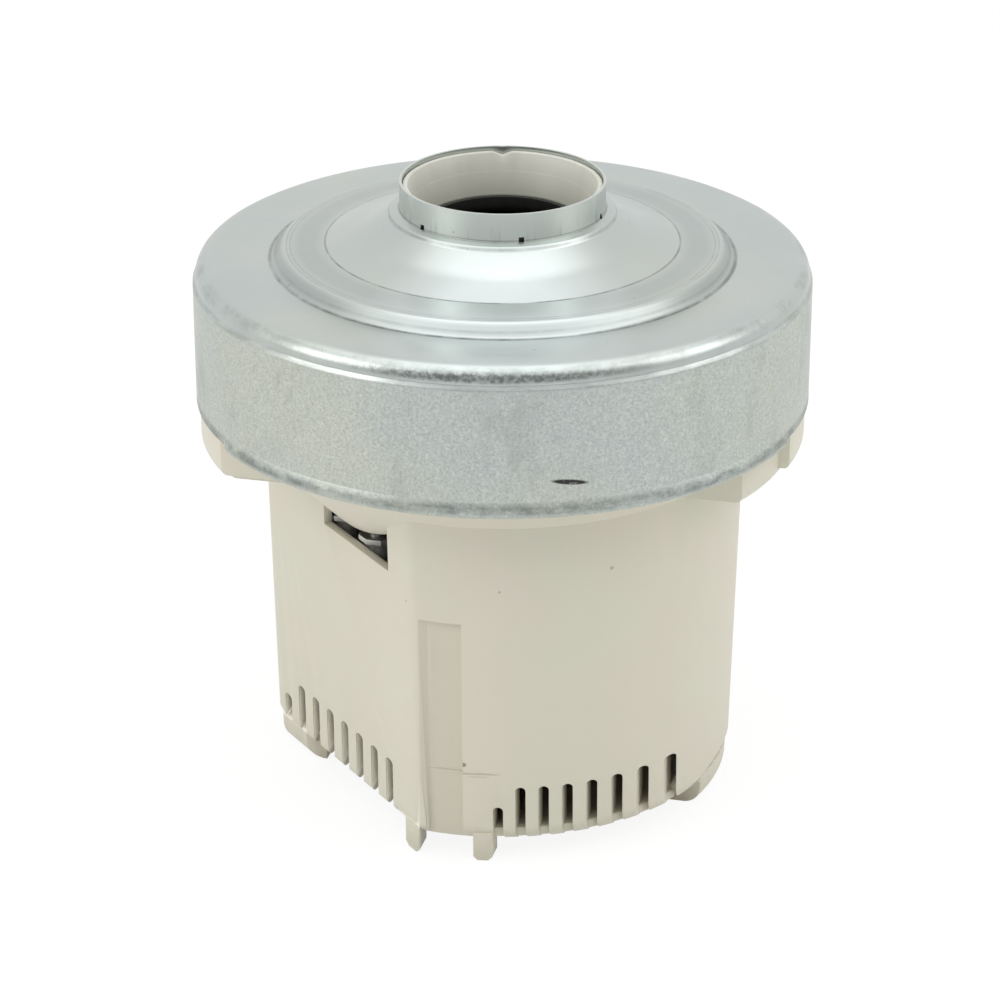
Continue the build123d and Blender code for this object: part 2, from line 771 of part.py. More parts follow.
def make_commutator():
    """Moulded hub and its copper bars, each bar with a riser."""
    top = commutator_z + commutator_length
    hub = ring(hub_sleeve_radius - fit_gap, shaft_radius + fit_gap, commutator_z, top)
    riser_z = top - riser_length
    riser = commutator_radius + riser_step
    section = polygon_section([
        (hub_sleeve_radius, commutator_z), (commutator_radius, commutator_z), (commutator_radius, riser_z),
        (riser, riser_z), (riser, top), (hub_sleeve_radius, top),
    ])
    pitch_deg = 360.0 / armature_slot_count
    gap_deg = math.degrees(bar_gap / commutator_radius)
    bars = [spun(section, number * pitch_deg, pitch_deg - gap_deg) for number in range(armature_slot_count)]
    return hub, Compound(children=bars)


def stator_plan():
    """Stator lamination: outer round with two flats, two poles with shoes."""
    outer = Circle(stator_radius) & Rectangle(2 * stator_flat, far_reach)
    inner = Circle(stator_inner) & Rectangle(2 * stator_inner_flat, far_reach)
    shoe_x = far_reach * math.sin(math.radians(shoe_half_deg))
    shoe_y = far_reach * math.cos(math.radians(shoe_half_deg))
    plan = outer - inner + (Rectangle(2 * pole_half_width, 2 * stator_inner + yoke_width) & outer)
    for side in (-1, 1):
        wedge = make_face(Polyline((0, 0), (shoe_x, side * shoe_y), (-shoe_x, side * shoe_y), close=True).edges())
        plan += Circle(pole_start) & wedge
    plan -= Circle(bore_radius)
    for x, y in stator_screw_places():
        plan -= Pos(x, y) * Circle(stator_screw_radius + slip_gap)
    for x, y in ear_places():
        plan -= Pos(x, y) * Circle(rivet_radius + slip_gap)
    return plan


def ear_places():
    """Plan places of the bracket's four ears."""
    return [(x, y) for x in (ear_x, -ear_x) for y in (ear_y, -ear_y)]


def make_stator_screws():
    """Four long screws down through the stack into the posts."""
    screws = []
    for x, y in stator_screw_places():
        shank = disc(stator_screw_radius, stack_low - stator_screw_bite + slip_gap, stack_high, x, y)
        head = disc(stator_head_radius, stack_high, stack_high + stator_head_height, x, y)
        socket = extrude(Pos(x, y, stack_high + stator_head_height / 2)
                         * RegularPolygon(stator_head_radius / 2, 6), stator_head_height)
        screws.append(shank + head - socket)
    return Compound(children=screws)


def coil_sizes():
    """Half width, half height, start and end of one coil's bobbin along the pole."""
    half_x = pole_half_width + slip_gap + bobbin_wall
    half_z = stack_height / 2 + slip_gap + bobbin_wall
    lip_x = half_x + coil_width + bobbin_lip
    start = pole_start + coil_start_gap
    end = math.sqrt(stator_inner ** 2 - lip_x ** 2) - slip_gap
    return half_x, half_z, start, end


def upright_frame(half_x, half_z, corner, start, end):
    """Rounded rectangular block round a pole, seen along the pole's axis."""
    middle = stack_low + stack_height / 2
    face = Plane.XZ * RectangleRounded(2 * half_x, 2 * half_z, corner)
    return Pos(0, end, middle) * extrude(face, end - start)


def make_coil_pair():
    """Bobbin and wound coil of the pole on the +Y side."""
    half_x, half_z, start, end = coil_sizes()
    lip = coil_width + bobbin_lip
    hole = upright_frame(half_x - bobbin_wall, half_z - bobbin_wall, fit_gap, start - overrun, end + overrun)
    bobbin = upright_frame(half_x, half_z, bobbin_wall, start, end)
    for low in (start, end - bobbin_flange):
        bobbin += upright_frame(half_x + lip, half_z + lip, coil_corner + lip, low, low + bobbin_flange)
    bobbin -= hole
    inner = upright_frame(half_x + slip_gap, half_z + slip_gap, bobbin_wall, start, end)
    low = start + bobbin_flange + slip_gap
    high = end - bobbin_flange - slip_gap
    coil = upright_frame(half_x + coil_width, half_z + coil_width, coil_corner + coil_width, low, high) - inner
    return bobbin, coil


def make_bracket():
    """Stamped bracket: bearing cup, windowed cone, ring and four ears."""
    cup = upper_ring_radius + fit_gap + bracket_wall
    skirt_z = upper_bearing_z - bracket_cup_skirt
    points = [(bracket_ring_radius, bracket_z), (bracket_foot_radius, bracket_z), (cup, skirt_z),
              (cup, bracket_cup_top), (bracket_top_hole, bracket_cup_top)]
    radii = [bracket_fillet, bracket_fillet, bracket_cup_fillet + bracket_wall]
    bracket = spun(sheet_section(points, radii, bracket_wall))
    low = bracket_z - bracket_wall
    ears = []
    for x, y in ear_places():
        plate = Pos(x, y, low) * Rot(0, 0, 22.5) * RegularPolygon(ear_half, 8, major_radius=False)
        arm_low, arm_high = sorted((x, math.copysign(bracket_foot_radius, x)))
        arm = block(arm_low, arm_high, y - bracket_arm_half, y + bracket_arm_half, low, bracket_z)
        ears.append(extrude(plate, bracket_wall) + arm)
    bracket += ears
    window = polygon_section([(bracket_window_inner, low), (bracket_window_outer, low),
                              (bracket_window_outer, bracket_cup_top), (bracket_window_inner, bracket_cup_top)])
    span = 90.0 - 2 * arm_half_deg
    bracket -= [spun(window, 90.0 * number + arm_half_deg, span) for number in range(4)]
    for x, y in ear_places():
        bracket -= disc(rivet_radius + slip_gap, low - overrun, bracket_z + overrun, x, y)
    return bracket


def make_bracket_fixings():
    """Spacers between the stack and the ears, and the rivets through them."""
    spacers = []
    rivets = []
    for x, y in ear_places():
        low = bracket_z - bracket_wall
        spacers.append(disc(spacer_radius, stack_high, low, x, y)
                       - disc(rivet_radius + slip_gap, stack_high - overrun, low + overrun, x, y))
        top = bracket_z + rivet_head_height
        rivet = disc(rivet_radius, stack_high - rivet_bite, bracket_z, x, y)
        rivet += disc(rivet_head_radius, bracket_z, top, x, y)
        rivets.append(rivet - disc(rivet_hollow_radius, top - rivet_hollow_depth, top + overrun, x, y))
    return Compound(children=spacers), Compound(children=rivets)


def shroud_outline():
    """Top of the impeller's front shroud from its rim to its eye, and its corner radii."""
    throat_z = impeller_front_z + shroud_throat_rise
    points = [
        (impeller_radius, impeller_front_z + impeller_exit_height + impeller_wall),
        (shroud_waist_radius, impeller_front_z + shroud_waist_rise + impeller_wall),
        (impeller_eye_radius, throat_z + impeller_wall),
        (impeller_eye_radius, impeller_eye_top),
    ]
    return points, [shroud_waist_fillet, shroud_fillet]


def arc_strip(first, second, third, wall):
    """Curved strip of even thickness along the arc through three plan points."""
    (x1, y1), (x2, y2), (x3, y3) = first, second, third
    twice = 2 * (x1 * (y2 - y3) + x2 * (y3 - y1) + x3 * (y1 - y2))
    s1, s2, s3 = x1 ** 2 + y1 ** 2, x2 ** 2 + y2 ** 2, x3 ** 2 + y3 ** 2
    centre = Vector((s1 * (y2 - y3) + s2 * (y3 - y1) + s3 * (y1 - y2)) / twice,
                    (s1 * (x3 - x2) + s2 * (x1 - x3) + s3 * (x2 - x1)) / twice)
    radius = (Vector(*first) - centre).length
    arcs = []
    for size in (radius - wall / 2, radius + wall / 2):
        ends = [centre + (Vector(*point) - centre).normalized() * size for point in (first, second, third)]
        arcs.append(ThreePointArc(*ends))
    caps = [Line(arcs[0] @ 0, arcs[1] @ 0), Line(arcs[0] @ 1, arcs[1] @ 1)]
    return make_face([*(edge for arc in arcs for edge in arc.edges()), *(edge for cap in caps for edge in cap.edges())])


def polar(radius, degrees):
    """Plan point at a turn from +X."""
    return (radius * math.cos(math.radians(degrees)), radius * math.sin(math.radians(degrees)))


def make_impeller():
    """Moulded back plate with its hub and curved blades, and the front shroud that closes them."""
    points, radii = shroud_outline()
    shroud = spun(sheet_section(points, radii, impeller_wall))
    back = ring(impeller_radius, shaft_radius + fit_gap, impeller_back_z, impeller_front_z)
    plan = arc_strip(polar(blade_inner, 0), polar(blade_middle, blade_middle_deg),
                     polar(blade_outer, blade_outer_deg), blade_wall)
    blade = extrude(Pos(0, 0, impeller_front_z) * plan, shroud_throat_rise)
    inner = rounded_line(beside(points[:3], impeller_wall), [shroud_waist_fillet + impeller_wall])
    low_z = impeller_front_z - overrun
    corners = [inner @ 1, Vector(0, 0, (inner @ 1).Z), Vector(0, 0, low_z), Vector(impeller_radius, 0, low_z),
               inner @ 0]
    under = spun(make_face([*inner.edges(), *Polyline(*corners).edges()]))
    blade = blade & under
    back += ring(impeller_hub_radius, shaft_radius + fit_gap, impeller_front_z, hub_face_z)
    back += [Rot(0, 0, number * 360.0 / blade_count) * blade for number in range(blade_count)]
    return shroud, back


def make_nut():
    """Hexagon nut on the shaft's end."""
    low = hub_face_z + nut_washer_height
    plan = RegularPolygon(nut_across_flats / 2, 6, major_radius=False) - Circle(shaft_radius + fit_gap)
    return extrude(Pos(0, 0, low) * plan, nut_height)


def make_diffuser():
    """Plate with guide vanes round its rim, return vanes under it and a base ring."""
    plate_top = diffuser_plate_z + diffuser_plate_thickness
    diffuser = ring(diffuser_plate_radius, diffuser_hole_radius, diffuser_plate_z, plate_top)
    diffuser += ring(diffuser_radius, diffuser_base_inner, flange_high, flange_high + diffuser_base_thickness)
    guide = arc_strip(polar(guide_inner_radius, 0), polar((guide_inner_radius + diffuser_radius) / 2,
                      guide_turn_deg * guide_middle_share), polar(diffuser_radius, guide_turn_deg), vane_wall)
    guide = extrude(Pos(0, 0, flange_high) * guide, guide_top - flange_high)
    guide = guide & disc(diffuser_radius, flange_high, guide_top)
    back = arc_strip(polar(guide_inner_radius, 0), polar((guide_inner_radius + return_inner_radius) / 2,
                     -return_turn_deg * return_middle_share), polar(return_inner_radius, -return_turn_deg),
                     vane_wall)
    back = extrude(Pos(0, 0, flange_high) * back, diffuser_plate_z - flange_high)
    for number in range(vane_count):
        turn = Rot(0, 0, number * 360.0 / vane_count)
        diffuser += [turn * guide, turn * back]
    for x, y in diffuser_screw_places():
        diffuser -= disc(diffuser_screw_radius + slip_gap, flange_high - overrun, flange_high + overrun, x, y)
    return diffuser


def diffuser_screw_places():
    """Plan places of the diffuser's screws."""
    turns = [screw_phase_deg + number * 360.0 / diffuser_screw_count for number in range(diffuser_screw_count)]
    return [at_angle(diffuser_screw_circle, turn)[:2] for turn in turns]


def make_diffuser_screws():
    """Screws through the base ring into the flange."""
    screws = []
    top = flange_high + diffuser_base_thickness
    for x, y in diffuser_screw_places():
        shank = disc(diffuser_screw_radius, flange_high - diffuser_screw_bite + slip_gap, top, x, y)
        screws.append(shank + disc(diffuser_head_radius, top, top + diffuser_head_height, x, y))
    return Compound(children=screws)


def make_brush():
    """Carbon brush with its end hollowed to the commutator's round."""
    low = brush_z - brush_height / 2
    blank = block(commutator_radius - bar_gap, brush_end, -brush_width / 2, brush_width / 2,
                  low, low + brush_height)
    return blank - disc(brush_start, low - overrun, low + brush_height + overrun)


def make_tube():
    """Brass tube that guides the brush."""
    half_y = brush_width / 2 + brush_slide_gap
    half_z = brush_height / 2 + brush_slide_gap
    outer = block(tube_start, spring_end, -half_y - tube_wall, half_y + tube_wall,
                  brush_z - half_z - tube_wall, brush_z + half_z + tube_wall)
    return outer - block(tube_start - overrun, spring_end + overrun, -half_y, half_y,
                         brush_z - half_z, brush_z + half_z)


def make_holder():
    """Moulded holder round the tube, with two screw pads on the floor."""
    pocket_y = brush_width / 2 + brush_slide_gap + tube_wall + slip_gap
    pocket_z = brush_height / 2 + brush_slide_gap + tube_wall + slip_gap
    holder = block(holder_start, spring_end, -holder_half_width, holder_half_width, floor_top,
                   brush_z + pocket_z + holder_wall)
    for side in (-1, 1):
        low, high = sorted((0, side * brush_screw_offset))
        pad = disc(ear_pad_radius, floor_top, floor_top + ear_pad_height, brush_screw_reach,
                   side * brush_screw_offset)
        pad += block(brush_screw_reach - ear_pad_radius, brush_screw_reach + ear_pad_radius, low, high,
                     floor_top, floor_top + ear_pad_height)
        holder += pad
        holder -= disc(brush_screw_radius + slip_gap, floor_top - overrun, floor_top + overrun,
                       brush_screw_reach, side * brush_screw_offset)
    return holder - block(holder_start - overrun, spring_end + overrun, -pocket_y, pocket_y,
                          brush_z - pocket_z, brush_z + pocket_z)


def make_spring():
    """Helical spring between the brush and the terminal."""
    rise = spring_space - 2 * (spring_wire + slip_gap)
    path = Helix(rise / spring_turns, rise, spring_radius)
    profile = Plane(origin=path @ 0, z_dir=path % 0) * RegularPolygon(spring_wire, 6)
    coil = sweep(profile, path=path)
    return Pos(brush_end + spring_wire + slip_gap, 0, brush_z) * Rot(0, 90, 0) * coil


def make_lead():
    """Flexible lead from the brush to the terminal, through the spring."""
    rod = Cylinder(lead_radius, spring_space - 2 * fit_gap, align=(Align.CENTER, Align.CENTER, Align.MIN))
    return Pos(brush_end + fit_gap, 0, brush_z) * Rot(0, 90, 0) * rod


def make_terminal():
    """Blade that closes the tube and reaches down through the floor."""
    top = brush_z + brush_height / 2
    return block(spring_end + fit_gap, spring_end + terminal_thickness, -terminal_width / 2,
                 terminal_width / 2, base_z + terminal_rise, top)


def make_brush_screws():
    """Screws that hold both brush holders on the floor."""
    screws = []
    top = floor_top + ear_pad_height
    for end in (0, 1):
        for side in (-1, 1):
            place = (brush_screw_reach, side * brush_screw_offset)
            shank = disc(brush_screw_radius, floor_top - brush_screw_bite + slip_gap, top, *place)
            head = disc(brush_screw_head, top, top + brush_screw_head_height, *place)
            screws.append(diagonal(shank + head, end))
    return Compound(children=screws)


def make_all():
    """Builds every node and writes it."""
    write(make_cover(), "fan_cover")
    write(make_seal_ring(), "inlet_seal_ring")
    write(make_housing() - make_flange_holes(), "motor_housing")
    write(make_bracket(), "bearing_bracket")
    spacers, rivets = make_bracket_fixings()
    write(spacers, "bracket_spacers")
    write(rivets, "bracket_rivets")
    make_bearing("upper", upper_bearing_z, upper_ring_radius, shaft_radius, upper_ring_width, upper_ball_radius)
    make_bearing("lower", lower_bearing_z, lower_ring_radius, journal_radius, lower_ring_width,
                 lower_ball_radius)
    write(make_wave_washer(), "lower_bearing_wave_washer")
    write(make_shaft(), "shaft")
    write(make_armature_core(), "armature_core")
    write(make_armature_winding(), "armature_winding")
    hub, bars = make_commutator()
    write(hub, "commutator_hub")
    write(bars, "commutator_bars")
    write(extrude(Pos(0, 0, stack_low) * stator_plan(), stack_height), "stator_core")
    write(make_stator_screws(), "stator_screws")
    bobbin, coil = make_coil_pair()
    for name, turn in (("a", 0), ("b", 180)):
        write(Rot(0, 0, turn) * bobbin, f"coil_bobbin_{name}")
        write(Rot(0, 0, turn) * coil, f"field_coil_{name}")
    shroud, impeller = make_impeller()
    write(shroud, "impeller_front_shroud")
    write(impeller, "impeller")
    sleeve = ring(spacer_sleeve_radius, shaft_radius + fit_gap, upper_bearing_z + upper_ring_width,
                  impeller_back_z)
    write(sleeve, "impeller_spacer")
    washer = ring(nut_washer_radius, shaft_radius + fit_gap, hub_face_z, hub_face_z + nut_washer_height)
    write(washer, "impeller_washer")
    write(make_nut(), "impeller_nut")
    write(make_diffuser(), "diffuser")
    write(make_diffuser_screws(), "diffuser_screws")
    pieces = {
        "brush_holder": make_holder(), "brush_tube": make_tube(), "carbon_brush": make_brush(),
        "brush_spring": make_spring(), "brush_lead": make_lead(), "brush_terminal": make_terminal(),
    }
    for name, solid in pieces.items():
        write(diagonal(solid, 0), f"{name}_a")
        write(diagonal(solid, 1), f"{name}_b")
    write(make_brush_screws(), "brush_holder_screws")


make_all()
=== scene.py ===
"""The looks of a flow-through vacuum cleaner motor: zinc-plated fan cover over a cream moulded housing.

Metres, +Z up, the motor's axis at the origin. The photograph's camera stands 31 degrees to the left of -Y.
Bearings are counted from -Y towards +X.
"""

import json
import math

import bpy
import numpy as np
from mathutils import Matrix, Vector


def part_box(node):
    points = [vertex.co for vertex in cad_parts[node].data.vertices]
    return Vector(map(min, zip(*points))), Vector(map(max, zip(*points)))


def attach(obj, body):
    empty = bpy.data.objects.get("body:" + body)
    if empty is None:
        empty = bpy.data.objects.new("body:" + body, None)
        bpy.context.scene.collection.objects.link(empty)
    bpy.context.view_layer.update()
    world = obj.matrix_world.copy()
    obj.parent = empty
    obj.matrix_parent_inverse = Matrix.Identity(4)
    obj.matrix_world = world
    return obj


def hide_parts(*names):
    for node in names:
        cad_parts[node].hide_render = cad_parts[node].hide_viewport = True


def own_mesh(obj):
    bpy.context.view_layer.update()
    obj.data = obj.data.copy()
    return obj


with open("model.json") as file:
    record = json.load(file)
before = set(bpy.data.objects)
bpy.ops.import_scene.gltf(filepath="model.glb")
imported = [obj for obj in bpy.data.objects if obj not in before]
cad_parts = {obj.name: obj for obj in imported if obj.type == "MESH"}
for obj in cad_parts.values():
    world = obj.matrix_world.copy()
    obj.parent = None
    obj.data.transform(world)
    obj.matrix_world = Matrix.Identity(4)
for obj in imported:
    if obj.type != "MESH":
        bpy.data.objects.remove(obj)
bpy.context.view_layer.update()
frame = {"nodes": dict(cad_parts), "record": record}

MM = 0.001

# The photograph's camera, from a fit of the cover's ellipses and the housing's edges
CAMERA_AZIMUTH = -31.2
CAMERA_ELEVATION = 24.39
CAMERA_DISTANCE = 830 * MM
CAMERA_AIM = Vector((-0.49, 0.30, 63.1)) * MM
CAMERA_LENS = 133.2
SENSOR = 36.0

# Lamps: azimuth and elevation in degrees, distance and size in metres, power in watts
LAMPS = {
    "overhead": (-31, 78, 1.3, 1.9, 10.0),
    "right": (45, 35, 1.5, 0.9, 4.6),
    "left_front": (-95, 30, 1.6, 0.9, 6.8),
}
# Strength of the room's light behind the motor, before it and overhead, and of what metal sees before it
ROOM_BACK, ROOM_FRONT, ROOM_TOP = 0.74, 0.4, 1.25
MIRROR_FRONT = 0.6
FLOOR_HALF = 4.0
FLOOR_GAP = 0.01 * MM                # between the feet and the floor
FLOOR_WHITE = 0.8
FLOOR_GLOW = 1.04
FLOOR_SEEN = 0.86                    # share of that glow in what the camera and mirrors see of the floor

# Fan cover
COVER_SIDE = 67.5 * MM
COVER_WALL = 0.6 * MM
RIM_Z = 89.3 * MM
RIM_RISE = 3.6                       # millimetres from the rim's lowest edge up to the straight side
PLAIN_RISE = 1.3                     # millimetres by which the plain stretches end above that edge
SIDE_TOP = 117.6 * MM
COLLAR_RADIUS = 22.4 * MM
COLLAR_FOOT = 133.0 * MM
COVER_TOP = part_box("fan_cover")[1].z
PLAIN_START = math.radians(32.8)     # where the uncrimped stretches begin
PLAIN_SPAN = math.radians(54.9)
PLAIN_BLEND = 0.012                  # radians over which the bead runs out at each of their ends
# The outside from above the bead to the collar's edge: radius and height of each corner, and the radius that
# rounds it, in millimetres
COVER_OUTSIDE = [
    (67.5, 92.9, 0.0), (67.5, 117.6, 1.2), (66.9, 118.6, 0.6), (66.9, 122.3, 3.4), (50.2, 122.1, 1.3),
    (47.9, 124.9, 1.4), (38.65, 125.4, 0.8), (31.0, 128.2, 20.0), (25.1, 131.5, 0.5), (24.3, 132.55, 0.35),
    (22.4, 133.0, 0.3), (22.4, COVER_TOP / MM, 0.0),
]
# The rolled rim, from the straight side to the curled lip: share of the way, with the height above the rim's
# lowest edge and with the distance out of the side there, in millimetres
BEAD_HEIGHT = [(0.0, RIM_RISE), (0.3, 2.1), (0.5, 1.1), (0.68, 0.0), (1.0, 0.0)]
BEAD_SWELL = [(0.0, 0.0), (0.3, 0.62), (0.5, 0.5), (0.68, 0.12), (0.72, 0.0), (1.0, -2.5)]
# Small windows at the collar's foot: first bearing and pitch, half width, lowest and highest point, how far out
# they reach, and the heights above the foot of the rows of points that edge them
WINDOW_BEARING, WINDOW_PITCH = math.radians(-21.0), math.pi / 3
WINDOW_HALF = 0.66 * MM
WINDOW_LOW, WINDOW_HIGH = COLLAR_FOOT - 0.3 * MM, COLLAR_FOOT + 0.95 * MM
WINDOW_OUT = COLLAR_RADIUS + 0.35 * MM
WINDOW_ROWS = (0.6 * MM, 0.95 * MM, 2.2 * MM)
WINDOW_ROWS_END = 2.5 * MM
# Stakes that hold the seal ring: first bearing and pitch, drop of their middle below the collar's edge, reach up
# and down, half width, and depth
STAKE_BEARING, STAKE_PITCH = math.radians(148.8), 2 * math.pi / 3
STAKE_DROP, STAKE_REACH, STAKE_HALF, STAKE_DEPTH = 0.75 * MM, 0.95 * MM, 1.15 * MM, 0.9 * MM
# Creases of the cover's top: radius and half width in millimetres, and how dark the painted shade in them is
CREASES = [(50.6, 0.6, 0.85), (49.3, 0.3, 0.35), (47.0, 0.3, 0.3), (46.2, 0.2, 0.4),
           (38.6, 0.3, 0.75), (24.7, 0.3, 0.5)]
# Bands of the cover's top: radius and half width
RAISED_RING = (42.6 * MM, 4.4 * MM)
OUTER_EDGE = (65.9 * MM, 1.3 * MM)
RING_SLOPE = (49.1 * MM, 1.5 * MM)

# Seal ring in the collar; from THROAT to LIP in millimetres
SEAL_RADIUS = 21.65 * MM
SEAL_TOP = COVER_TOP - 0.85 * MM
SEAL_THROAT = 17.5
SEAL_FOOT = 19.0                     # radius of the point where the outline starts and ends
SEAL_HEIGHT = 9.8
SEAL_FLANGE = 24.2                   # radius of the flange under the cover
SEAL_FLANGE_DROP = 2.3               # of its upper face below the collar's foot
SEAL_FLANGE_WALL = 1.1
SEAL_LIP = 1.0                       # step at the throat's foot, and width of the upper edge
DIP_HALF, DIP_REACH, DIP_DEPTH = 2.2 * MM, 1.6 * MM, 0.9 * MM

# Housing, with the solid's sizes
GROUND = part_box("motor_housing")[0].z
WALL_FOOT = 4.3 * MM
WALL_RADIUS = 51.9 * MM              # of the arc walls at their foot
DRAFT = math.radians(1.3)
CHANNEL_HALF = 3.9 * MM
CHANNEL_TOP = 58.0 * MM
CHANNEL_RAMP = 1.7 * MM              # by which the left edge of a channel moves round the wall
FLOOR_TOP = 6.8 * MM
COMB_TOP = 24.0 * MM                 # nothing of the combs reaches higher
EDGE_ROUND = 0.45 * MM
RAIL_BEARINGS = (math.radians(-35.0), math.radians(18.2))
RAIL_INNER, RAIL_OUTER, RAIL_LOW, RAIL_RISE = 46.0, 50.3, 5.0, 0.6   # millimetres; the rise is over the floor

# Copies of the solids
WELD = 0.002 * MM                    # points closer than this are one
FLAT_ANGLE = math.radians(0.4)       # faces that turn less than this are merged

# Single marks: radius, bearing in degrees and height of the middle, and the reach along X, Y and Z, in millimetres
MARKS = {
    # painted light on the front of the cover's top
    "painted_front_light": (44, CAMERA_AZIMUTH, 124, (34, 34, 30)),
    # painted dark reflection on the front shoulder
    "painted_shoulder_reflection": (66.9, -34, 120.1, (42, 42, 1.5)),
    "scratch": (67.5, -19.5, 97.1, (5.2, 4.0, 0.75)),
    "rubbed_line": (52.4, -40.0, 21.4, (12, 12, 1.0)),
    "nick": (52.3, -40.6, 23.7, (1.0, 1.0, 0.8)),
    "spot": (53.4, -5.5, 69.1, (0.7, 0.7, 0.6)),
}
SCRATCH_TILT = math.radians(7)


def at_bearing(radius, bearing, z):
    """Point at a bearing."""
    return Vector((radius * math.sin(bearing), -radius * math.cos(bearing), z))


def linear(red, green, blue):
    """Colour as seen, 0 to 255, turned into the linear values that shaders take."""
    share = np.array((red, green, blue)) / 255
    return (*np.where(share <= 0.04045, share / 12.92, ((share + 0.055) / 1.055) ** 2.4), 1.0)


# Nodes of the materials

def new_material(name):
    """Empty material with a principled shader; returns it with its tree and shader."""
    material = bpy.data.materials.new(name)
    material.use_nodes = True
    tree = material.node_tree
    tree.nodes.clear()
    shader = tree.nodes.new("ShaderNodeBsdfPrincipled")
    output = tree.nodes.new("ShaderNodeOutputMaterial")
    tree.links.new(shader.outputs["BSDF"], output.inputs["Surface"])
    return material, tree, shader


def position(tree):
    """Object coordinates, in metres."""
    return tree.nodes.new("ShaderNodeTexCoord").outputs["Object"]


def place(tree, scale=(1.0, 1.0, 1.0)):
    """Object coordinates in metres, stretched by a scale along each axis."""
    mapping = tree.nodes.new("ShaderNodeMapping")
    mapping.inputs["Scale"].default_value = scale
    tree.links.new(position(tree), mapping.inputs["Vector"])
    return mapping.outputs["Vector"]


def noise(tree, vector, scale, detail=2.0, roughness=0.5):
    """Noise value between 0 and 1 with features of about 1 / scale metres."""
    node = tree.nodes.new("ShaderNodeTexNoise")
    node.inputs["Scale"].default_value = scale
    node.inputs["Detail"].default_value = detail
    node.inputs["Roughness"].default_value = roughness
    tree.links.new(vector, node.inputs["Vector"])
    return node.outputs["Fac"]


def layers(tree, direction, scale, distortion, detail=2.0):
    """Wave value between 0 and 1 in layers across an axis."""
    node = tree.nodes.new("ShaderNodeTexWave")
    node.bands_direction = direction
    node.inputs["Scale"].default_value = scale
    node.inputs["Distortion"].default_value = distortion
    node.inputs["Detail"].default_value = detail
    tree.links.new(place(tree), node.inputs["Vector"])
    return node.outputs["Fac"]


def spread(tree, value, low, high, to_low=0.0, to_high=1.0):
    """Maps a value from one range onto another and clamps it."""
    node = tree.nodes.new("ShaderNodeMapRange")
    for name, limit in (("From Min", low), ("From Max", high), ("To Min", to_low), ("To Max", to_high)):
        node.inputs[name].default_value = limit
    tree.links.new(value, node.inputs["Value"])
    return node.outputs["Result"]


def specks(tree, vector, scale, size, strength):
    """A strength in sparse round dots of a size, one in each cell of a pattern, 0 elsewhere."""
    node = tree.nodes.new("ShaderNodeTexVoronoi")
    node.inputs["Scale"].default_value = scale
    tree.links.new(vector, node.inputs["Vector"])
    return spread(tree, node.outputs["Distance"], size, 0.015, 0.0, strength)


def blend_colours(tree, factor, first, second):
    """Mixes two colours, each a value or a socket, by a factor."""
    node = tree.nodes.new("ShaderNodeMix")
    node.data_type = "RGBA"
    tree.links.new(factor, node.inputs["Factor"])
    for socket, colour in ((node.inputs["A"], first), (node.inputs["B"], second)):
        if isinstance(colour, tuple):
            socket.default_value = colour
        else:
            tree.links.new(colour, socket)
    return node.outputs["Result"]


def stained(tree, colour, mask, *shade):
    """Colour with a shade, 0 to 255 as seen, laid over it where a mask is 1."""
    return blend_colours(tree, mask, colour, linear(*shade))


def arithmetic(tree, operation, first, second):
    """One step of arithmetic on two values or sockets."""
    node = tree.nodes.new("ShaderNodeMath")
    node.operation = operation
    for socket, value in zip(node.inputs, (first, second)):
        if isinstance(value, (int, float)):
            socket.default_value = value
        else:
            tree.links.new(value, socket)
    return node.outputs["Value"]


def times(tree, *values):
    """Product of several values or sockets."""
    product = values[0]
    for value in values[1:]:
        product = arithmetic(tree, "MULTIPLY", product, value)
    return product


def either(tree, values):
    """The largest of several values."""
    highest = values[0]
    for value in values[1:]:
        highest = arithmetic(tree, "MAXIMUM", highest, value)
    return highest


def absolute(tree, value):
    """A value without its sign."""
    return arithmetic(tree, "ABSOLUTE", value, 0.0)


def dot_product(tree, first, second):
    """Dot product of a socket and a vector or another socket."""
    node = tree.nodes.new("ShaderNodeVectorMath")
    node.operation = "DOT_PRODUCT"
    tree.links.new(first, node.inputs[0])
    if isinstance(second, Vector):
        node.inputs[1].default_value = second
    else:
        tree.links.new(second, node.inputs[1])
    return node.outputs["Value"]


def parts_of(tree, vector):
    """X, Y and Z of a vector, by name."""
    node = tree.nodes.new("ShaderNodeSeparateXYZ")
    tree.links.new(vector, node.inputs["Vector"])
    return node.outputs


def roughen(tree, shader, height, distance, strength):
    """Bump from a height value, at a depth in metres."""
    node = tree.nodes.new("ShaderNodeBump")
    node.inputs["Distance"].default_value = distance
    node.inputs["Strength"].default_value = strength
    tree.links.new(height, node.inputs["Height"])
    tree.links.new(node.outputs["Normal"], shader.inputs["Normal"])


def mark(tree, name, tilt=0.0):
    """1 in the middle of one of the MARKS, falling to 0 at its reach; tilt turns it about Y."""
    radius, bearing, height, reach = MARKS[name]
    mapping = tree.nodes.new("ShaderNodeMapping")
    mapping.vector_type = "TEXTURE"
    mapping.inputs["Location"].default_value = at_bearing(radius * MM, math.radians(bearing), height * MM)
    mapping.inputs["Scale"].default_value = [length * MM for length in reach]
    mapping.inputs["Rotation"].default_value = (0.0, tilt, 0.0)
    ball = tree.nodes.new("ShaderNodeTexGradient")
    ball.gradient_type = "SPHERICAL"
    tree.links.new(position(tree), mapping.inputs["Vector"])
    tree.links.new(mapping.outputs["Vector"], ball.inputs["Vector"])
    return ball.outputs["Fac"]


def from_axis(tree):
    """Distance from the motor's axis, height, and the coordinates by name, in metres."""
    parts = parts_of(tree, position(tree))
    square = [times(tree, parts[axis], parts[axis]) for axis in "XY"]
    return arithmetic(tree, "SQRT", arithmetic(tree, "ADD", *square), 0.0), parts["Z"], parts


